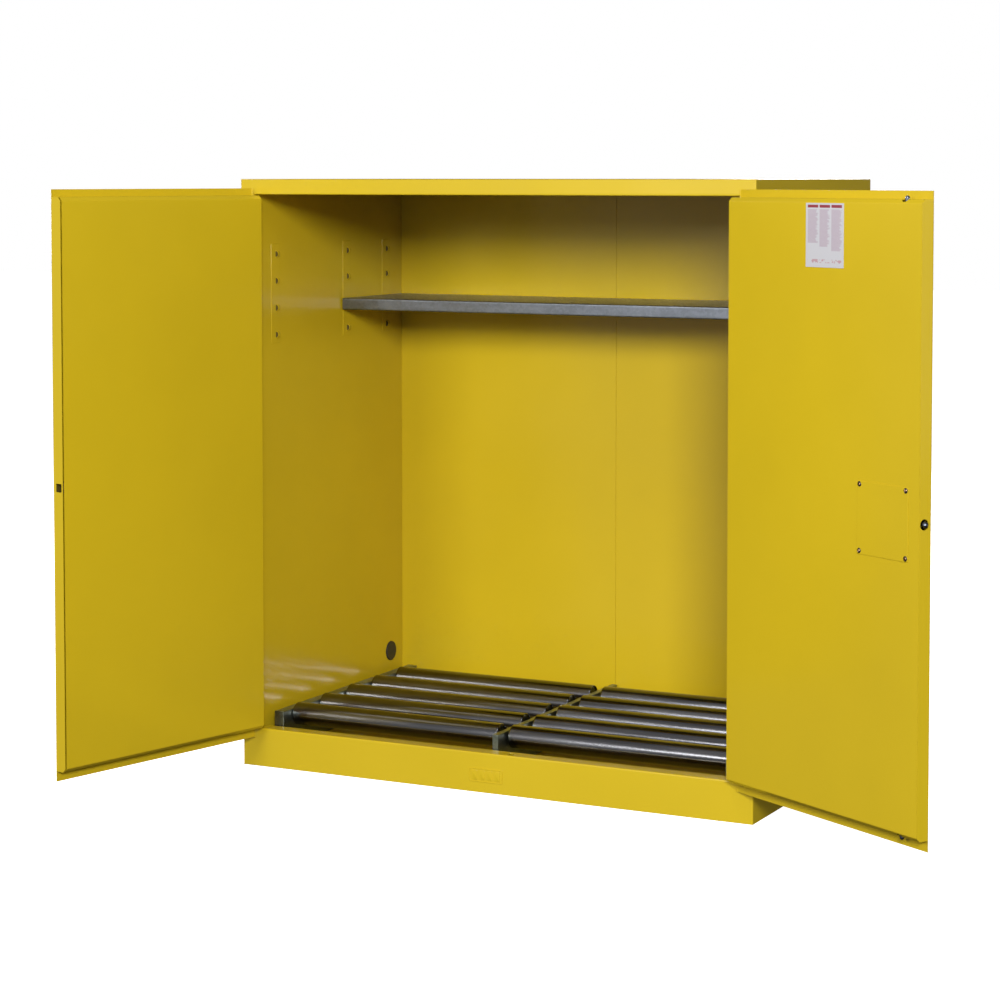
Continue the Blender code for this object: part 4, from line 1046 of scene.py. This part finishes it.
def screwHead(place, turn):
    # Pan head on a polar grid: a flattened dome, less a cross-shaped recess that fades out at its ends.
    s = screw
    rings = np.concatenate([[0.0], np.linspace(0.08, 1.0, 14)])[:, None]
    angle = np.linspace(0.0, 2 * pi, 40, endpoint=False)[None, :]
    x, y = rings * np.cos(angle), rings * np.sin(angle)
    dome = s["dome"] * (1.0 - 0.75 * rings ** 4)
    acrossX = x * cos(turn) + y * sin(turn)
    acrossY = y * cos(turn) - x * sin(turn)
    half = s["slot"] / s["radius"] / 2 + 0.06
    arm = np.maximum(np.exp(-(acrossX / half) ** 4), np.exp(-(acrossY / half) ** 4))
    fade = 1.0 / (1.0 + np.exp((rings - s["slotReach"]) * 30.0))
    top = dome - s["slotDepth"] * arm * fade
    grid = stacked(s["radius"] * x, s["radius"] * y, top + 0.0 * x)
    rim = stacked(s["radius"] * x[-1], s["radius"] * y[-1], 0.0 * x[-1] - 0.0001)[None]
    points = np.concatenate([grid, rim]).reshape(-1, 3)
    rows = len(rings) + 1
    faces = [list(face) for face in gridFaces(rows, 40)]
    faces.append([(rows - 1) * 40 + k for k in range(40)])
    return laid(place, points), faces


coverPlate = {"corner": 0.004, "edge": 0.0007, "washerHole": 0.0005, "washer": 0.0062}


def accessCover():
    place = onDoor("right")
    low, high = doorBox("right", "latch_access_cover")
    middle = (low + high) / 2
    wide, thick, tall = high - low
    points, faces = plate(wide, tall, coverPlate["corner"], 6, thick, coverPlate["edge"], 3)
    cover = place(middle[0] + points[:, 0], low[1] + points[:, 2], middle[2] + points[:, 1])
    newPiece("accessCover", cover, faces, "yellowEnamel", "right_door", ["latch_access_cover"])
    heads, washers = [], []
    for k, (su, sz) in enumerate(((-1, -1), (1, -1), (1, 1), (-1, 1))):
        u, z = middle[0] + su * latch["screwSpread"][0] / 2, middle[2] + sz * latch["screwSpread"][1] / 2

        def onCover(a, b, c, u=u, z=z):
            return place(u + a, high[1] + 0.0006 + c, z + b)
        heads.append(screwHead(onCover, 0.4 + 0.7 * k))
        hole, rim = coverPlate["washerHole"], coverPlate["washer"]
        profile = [(hole, 0.0), (rim, 0.0), (rim + 0.0004, -0.0002), (rim, -0.0005), (hole, -0.0005)]
        faces = turnedFaces(len(profile), 28, closed=True)
        washers.append((laid(onCover, turnedGrid(profile, 28)), faces))
    newPiece("coverScrews", *joined(heads), "screwSteel", "right_door")
    newPiece("coverWashers", *joined(washers), "brightSteel", "right_door")


accessCover()

labelShape = {"columns": 15, "rows": 17, "curl": 0.00025}


def instructionLabel():
    # Thin film on the door: a grid for the face, lifted very slightly at its corners, with its own UV map.
    place = onDoor("right")
    low, high = doorBox("right", "instruction_label")
    m, n = labelShape["columns"], labelShape["rows"]
    u = np.linspace(0.0, 1.0, m)[:, None] + np.zeros((1, n))
    v = np.zeros((m, 1)) + np.linspace(0.0, 1.0, n)[None, :]
    lift = labelShape["curl"] * (np.abs(2 * u - 1) ** 6 + np.abs(2 * v - 1) ** 6)
    top = stacked(u, v, high[1] - low[1] + lift).reshape(-1, 3)
    under = stacked(u, v, 0.0 * lift).reshape(-1, 3)
    faces = gridFaces(m, n, closeColumns=False)
    numbers = np.arange(m * n).reshape(m, n)
    rim = np.concatenate([numbers[0], numbers[1:, -1], numbers[-1, -2::-1], numbers[-2:0:-1, 0]])
    nextRim = np.roll(rim, -1)
    sides = stacked(rim, nextRim, nextRim + m * n, rim + m * n)
    grid = np.concatenate([top, under])
    # Seen from the room the hinge is on the left, so u runs left to right as it does along the door.
    along, up = low[0] + grid[:, 0] * (high[0] - low[0]), low[2] + grid[:, 1] * (high[2] - low[2])
    points = place(along, low[1] + grid[:, 2], up)
    faces = np.concatenate([faces, faces[:, ::-1] + m * n, sides[:, ::-1]])
    newPiece(
        "instructionLabel", points, faces, "labelFilm", "right_door", ["instruction_label"], uv=grid[:, :2]
    )


instructionLabel()
print("door fittings done")


hingeShape = {
    "barrel": 0.004,
    "bore": 0.0021,
    "knuckles": 60,
    "gap": 0.0005,
    "chamfer": 0.0004,
    "tang": 0.0046,
    "width": 0.028,
    "gauge": 0.0013,
    "frameLeafStart": -0.0015,
    "doorLeafStart": 0.0034,
}


def hingeLeaves(word):
    # Comb-edged leaf plate with a rolled knuckle on every second tooth. The other leaf has the teeth between.
    h, place = hingeShape, onDoor(word)
    hingeX, hingeY, sign = *doors[word]["hinge"], doors[word]["sign"]
    low, high = [corner[2] for corner in doorBox(word, f"{word}_hinge_door_leaf")]
    pitch = (high - low) / h["knuckles"]

    def onFrame(u, n, z):
        return stacked(hingeX + sign * u, hingeY + n, z + 0.0 * u)

    for leaf, first, start, where, body in (
        ("hingeFrameLeaf", 0, h["frameLeafStart"], onFrame, "cabinet"),
        ("hingeDoorLeaf", 1, h["doorLeafStart"], place, doors[word]["body"]),
    ):
        own = np.arange(first, h["knuckles"], 2)
        foot = low + own * pitch + h["gap"] / 2
        head = foot + pitch - h["gap"]
        levels = stacked(foot, foot, head, head).ravel()
        teeth = np.tile([h["tang"], 0.0, 0.0, h["tang"]], len(own))
        stations = np.concatenate([[low], levels, [high]])
        front = np.concatenate([[h["tang"]], teeth, [h["tang"]]])
        if first == 0:
            stations[0], front[0] = foot[0] - 1e-5, 0.0
        corners = np.stack([
            stacked(np.full_like(front, depth), far)
            for depth, far in (
                (start, front),
                (start + h["gauge"], front),
                (start + h["gauge"], np.full_like(front, h["width"])),
                (start, np.full_like(front, h["width"])),
            )
        ], axis=1)
        u, n = corners[..., 0].ravel(), corners[..., 1].ravel()
        z = np.repeat(stations, 4)
        plate = where(u, n, z)
        faces = [list(face) for face in gridFaces(len(stations), 4)]
        faces += [[3, 2, 1, 0], [4 * len(stations) - 4 + k for k in range(4)]]
        r, b, c = h["barrel"], h["bore"], h["chamfer"]
        section = np.array([(b, 0, 0), (r - c, 0, 0), (r, 0, c), (r, 1, -c), (r - c, 1, 0), (b, 1, 0)])
        angle = np.arange(16) * pi / 8
        tall = head - foot
        level = foot[:, None] + section[None, :, 1] * tall[:, None] + section[None, :, 2]
        radius = np.broadcast_to(section[None, :, 0], level.shape)
        ring = stacked(
            radius[..., None] * np.cos(angle),
            radius[..., None] * np.sin(angle),
            np.broadcast_to(level[..., None], level.shape + (16,)),
        )
        one = gridFaces(len(section), 16, closeRows=True)
        shift = np.arange(len(own))[:, None, None] * len(section) * 16
        barrels = laid(where, ring.reshape(-1, 3))
        points, faces = joined([(plate, faces), (barrels, (one[None] + shift).reshape(-1, 4))])
        node = f"{word}_hinge_frame_leaf" if first == 0 else f"{word}_hinge_door_leaf"
        newPiece(word + leaf[0].upper() + leaf[1:], points, faces, "yellowEnamel", body, [node])


hingeLeaves("left")
hingeLeaves("right")
print("hinges done")


rollerShape = {
    "chamfer": 0.0012,
    "wall": 0.003,
    "bore": 0.0065,
    "bearing": 0.017,
    "recess": 0.0035,
    "hub": 0.0095,
}


def rollers():
    # Tube with its ends turned in over a pressed bearing plate: one closed profile spun about the axle.
    r = rollerShape
    for name in sorted(n for n in frame["nodes"] if n.startswith(("roller_left", "roller_right"))):
        low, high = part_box(name)
        middle, half = (low + high) / 2, (high.x - low.x) / 2
        radius = (high.z - low.z) / 2
        end = [
            (r["bore"], half - 0.0002),
            (r["hub"], half - 0.0002),
            (r["hub"], half - 0.0012),
            (r["bearing"], half - 0.0016),
            (r["bearing"] + 0.001, half - r["recess"]),
            (radius - r["wall"] - 0.002, half - r["recess"]),
            (radius - r["wall"], half - 0.001),
            (radius - r["chamfer"] * 1.6, half),
            (radius - r["chamfer"] * 0.5, half - r["chamfer"] * 0.45),
            (radius, half - r["chamfer"] * 1.6),
            (radius, half - r["chamfer"] * 4.0),
        ]
        inside = [(radius - r["wall"], half - 0.008), (r["bore"], half - 0.008)]
        away = [(a, -b) for a, b in end[::-1]]
        insideAway = [(a, -b) for a, b in inside[::-1]]
        profile = end + away + insideAway + inside
        points = turnedGrid(profile, 56)
        placed = stacked(middle.x + points[:, 2], middle.y + points[:, 0], middle.z + points[:, 1])
        words = name.split("_")
        title = "roller" + words[1].capitalize() + words[2]
        faces = turnedFaces(len(profile), 56, closed=True)
        newPiece(title, placed, faces, "rollerSteel", name, [name], crease=30.0)


rollers()

railShape = {
    "edge": 0.001,
    "corner": 0.002,
    "midWidth": 0.017,
    "nut": 0.0098,
    "nutThick": 0.0075,
    "nutEdge": 0.0012,
}


def rollerRails():
    # Closed bars with pressed end plates, and a hexagonal nut with its corners turned off on each axle's end.
    r = railShape
    for word in ("left", "centre", "right"):
        low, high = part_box(f"{word}_roller_rail")
        wide = r["midWidth"] if word == "centre" else high.x - low.x
        points, faces = plate(wide, high.z - low.z, r["corner"], 3, high.y - low.y, r["edge"], 3)
        middle = (low + high) / 2
        bar = stacked(middle.x + points[:, 0], low.y + points[:, 2], middle.z + points[:, 1])
        newPiece(f"{word}RollerRail", bar, faces, "railZinc", "cabinet", [f"{word}_roller_rail"])
    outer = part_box("right_roller_rail")[1].x
    outline, out = roundOutline(r["nut"], 6)
    rings = [(0.0, 0.0), (0.0, r["nutThick"] - r["nutEdge"]), (r["nutEdge"] + 0.0001, r["nutThick"])]
    nuts = []
    for name in sorted(n for n in frame["nodes"] if n.startswith("roller_axle")):
        middle = (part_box(name)[0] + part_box(name)[1]) / 2
        for sign in (-1, 1):
            points, faces = ringed(outline, out, rings)
            x = sign * (outer - 0.0002 + points[:, 2])
            nuts.append((stacked(x, middle.y + points[:, 0], middle.z + points[:, 1]), faces))
    newPiece("axleNuts", *joined(nuts), "zincPlate", "cabinet")


rollerRails()
print("rollers done")


def ventRibs(angle, level, radius):
    # Ribs round the cap's rim and nowhere else.
    v = ventShape
    rib = v["ribDepth"] * (0.5 + 0.5 * np.cos(v["ribs"] * angle)) ** 2
    return np.where(radius > v["ribbedFrom"], -rib, 0.0)
def ventPieces():
    for word, vent in vents.items():
        sign = vent["sign"]
        low, high = vent["box"]
        face = high.x if sign > 0 else -low.x
        deep = face - (low.x if sign > 0 else -high.x)

        def onSide(a, b, c, sign=sign, vent=vent, face=face):
            return stacked(sign * (face + c), vent["y"] + a, vent["z"] + b)

        # Flanged tube: thin wall, rounded flange, and a screen disc dished a little at the inner end.
        profile = [
            (0.0, 0.0015 - deep + 0.0012), (0.012, 0.0015 - deep + 0.0009), (0.0248, 0.0015 - deep),
            (0.025, 0.003 - deep), (0.025, -0.0008), (0.0257, 0.0), (0.0362, 0.0), (0.0376, -0.0006),
            (0.038, -0.0016), (0.038, -0.003), (0.029, -0.003), (0.029, -deep + 0.0008), (0.0282, -deep),
            (0.0, -deep),
        ]
        points, faces = laid(onSide, turnedGrid(profile, 48)), turnedFaces(len(profile), 48)
        newPiece(f"{word}VentTube", points, faces, "blackEnamel", "cabinet", [f"{word}_vent"])
        capNode = f"{word}_vent_cap"
        capLow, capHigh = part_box(capNode)
        outer = (capHigh.x if sign > 0 else -capLow.x) - face
        inner = (capLow.x if sign > 0 else -capHigh.x) - face
        profile = [
            (0.0, outer - 0.0010), (0.010, outer - 0.0010), (0.012, outer - 0.0004), (0.0265, outer),
            (0.030, outer - 0.0003), (0.0334, outer - 0.0012), (0.034, outer - 0.0024), (0.034, 0.0008),
            (0.0334, 0.0003), (0.0244, 0.0003), (0.0244, inner + 0.001), (0.0234, inner), (0.0, inner),
        ]
        points, faces = laid(onSide, turnedGrid(profile, 240, ventRibs)), turnedFaces(len(profile), 240)
        newPiece(f"{word}VentCap", points, faces, "blackEnamel", capNode, [capNode])


ventPieces()


def threaded(shape, core):
    # A wobble for turnedGrid: crests that climb one pitch a turn, where the profile is at the core's radius.
    def wobble(angle, level, radius):
        crests = shape["crest"] * np.sin(angle - 2 * pi * level / shape["pitch"])
        return np.where(np.abs(radius - core) < 1e-6, crests, 0.0)
    return wobble


stud = {"washer": 0.0072, "nut": 0.0060, "core": 0.0034, "pitch": 0.0010, "crest": 0.00028}


def earthingStud():
    # Washer, hexagonal nut with its corners turned off, and a threaded end.
    low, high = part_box("earthing_stud")
    y, z = (low.y + high.y) / 2, (low.z + high.z) / 2
    face = -cabinet["side"] - 0.0002

    def place(a, b, c):
        return stacked(face - c, y + a, z + b)

    profile = [(0.0, 0.0), (stud["washer"], 0.0), (stud["washer"], 0.0008), (0.0, 0.0008)]
    shapes = [(turnedGrid(profile, 32), turnedFaces(len(profile), 32))]
    outline, out = roundOutline(stud["nut"], 6)
    shapes.append(ringed(outline, out, [(0.0, 0.0008), (0.0, 0.0030), (0.0009, 0.0036), (0.0030, 0.0037)]))
    level = np.linspace(-0.0110, 0.0046, 90)
    thread = stacked(np.full_like(level, stud["core"]), level)
    profile = [(0.0, -0.0112), *thread, (0.0, 0.0050)]
    shapes.append((turnedGrid(profile, 20, threaded(stud, stud["core"])), turnedFaces(len(profile), 20)))
    points, faces = joined(shapes)
    newPiece("earthingStud", laid(place, points), faces, "brightSteel", "cabinet", ["earthing_stud"])


earthingStud()

footShape = {"pad": 0.0158, "stem": 0.0046, "pitch": 0.00125, "crest": 0.0004}


def levellingFeet():
    f = footShape
    for name in sorted(n for n in frame["nodes"] if n.startswith("levelling_foot")):
        low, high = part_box(name)
        x, y = (low.x + high.x) / 2, (low.y + high.y) / 2
        level = np.linspace(low.z + 0.0075, high.z - 0.0008, 120)
        stem = stacked(np.full_like(level, f["stem"]), level)
        pad = [
            (0.0, low.z), (f["pad"] - 0.001, low.z), (f["pad"], low.z + 0.001), (f["pad"], low.z + 0.0035),
            (f["pad"] - 0.0025, low.z + 0.0058), (f["stem"], low.z + 0.0062),
        ]
        profile = [*pad, *stem, (0.0, high.z)]
        points = turnedGrid(profile, 24, threaded(f, f["stem"])) + [x, y, 0.0]
        title = "foot" + "".join(word.capitalize() for word in name.split("_")[2:])
        newPiece(title, points, turnedFaces(len(profile), 24), "zincPlate", name, [name])


levellingFeet()
for pieceName, cadPart, edgeWidth in (
    ("roofSheet", "roof_panel", 0.0020),
    ("backSheet", "outer_back", 0.0006),
    ("baseSheet", "base_panel", 0.0006),
    ("ceilingSheet", "inner_ceiling", 0.0004),
    ("latchCam", "latch_cam", 0.0003),
    ("lockCylinder", "lock_cylinder", 0.0004),
):
    easedCopy(pieceName, cadPart, edgeWidth)
print("small fittings done")


handleShape = {
    "hub": 0.016,
    "socket": 0.0095,
    "spindle": 0.0034,
    "width": 0.022,
    "tipWidth": 0.017,
    "thick": 0.0095,
    "tipThick": 0.0075,
    "power": 0.62,  # of the superellipse section
    "sections": 40,
    "sides": 28,
}


def leverHandle():
    # Lever: superellipse sections along the hanging arm, narrowing to a rounded tip. The hub is turned.
    place = onDoor("right")
    h = handleShape
    sections, sides = h["sections"], h["sides"]

    def onSpindle(a, b, c):
        return place(latch["u"] + a, b, latch["height"] + c)

    low, high = doorBox("right", "lever_handle")
    roseLow, roseHigh = doorBox("right", "handle_rose")
    outerFace, back = low[1], roseLow[1] - 0.0003
    reach = latch["height"] - low[2]
    t = np.linspace(0.0, 1.0, sections)[:, None]
    end = np.sqrt(np.clip(1.0 - ((t - 0.92) / 0.08).clip(0, 1) ** 2, 0.0, 1.0))
    half = (h["width"] + (h["tipWidth"] - h["width"]) * t) / 2 * (0.06 + 0.94 * end)
    deep = (h["thick"] + (h["tipThick"] - h["thick"]) * t) / 2 * (0.20 + 0.80 * end)
    angle = np.linspace(0.0, 2 * pi, sides, endpoint=False)[None, :]
    across = half * np.sign(np.cos(angle)) * np.abs(np.cos(angle)) ** h["power"]
    through = deep * np.sign(np.sin(angle)) * np.abs(np.sin(angle)) ** h["power"]
    down = -reach * t + 0.0 * angle
    middle = outerFace + h["thick"] / 2 + 0.0002
    lever = stacked(across, middle + through, down).reshape(-1, 3)
    faces = [list(face) for face in gridFaces(sections, sides)]
    faces += [list(range(sides))[::-1], [(sections - 1) * sides + k for k in range(sides)]]
    socketFloor = outerFace + 0.0125
    profile = [
        (h["socket"], outerFace), (h["hub"] - 0.0015, outerFace), (h["hub"], outerFace + 0.0015),
        (h["hub"], back - 0.001), (h["hub"] - 0.001, back), (h["spindle"], back), (h["spindle"], high[1]),
        (0.0, high[1]), (0.0, socketFloor), (h["socket"], socketFloor),
    ]
    points = turnedGrid(profile, 40)
    hub = stacked(points[:, 0], points[:, 2], points[:, 1])
    points, faces = joined([(lever, faces), (hub, turnedFaces(len(profile), 40, closed=True))])
    newPiece("leverHandle", laid(onSpindle, points), faces, "blackEnamel", "handle", ["lever_handle"])
    rings = [(0.0026, 0.0), (0.0009, 0.0009), (0.0, 0.0030), (0.0, roseHigh[1] - roseLow[1])]
    outline, out = roundOutline((roseHigh[0] - roseLow[0]) / 2, 56)
    points, faces = ringed(outline, out, rings)
    plate = onSpindle(points[:, 0], roseLow[1] + points[:, 2], points[:, 1])
    rose = newPiece("handleRose", plate, faces, "blackEnamel", "right_door", ["handle_rose"])
    pierced(rose, rodShape(0.0038, roseLow[1] - 0.01, 0.01, lambda a, b, c: onSpindle(a, c, b), 20))


leverHandle()
print("handle done")
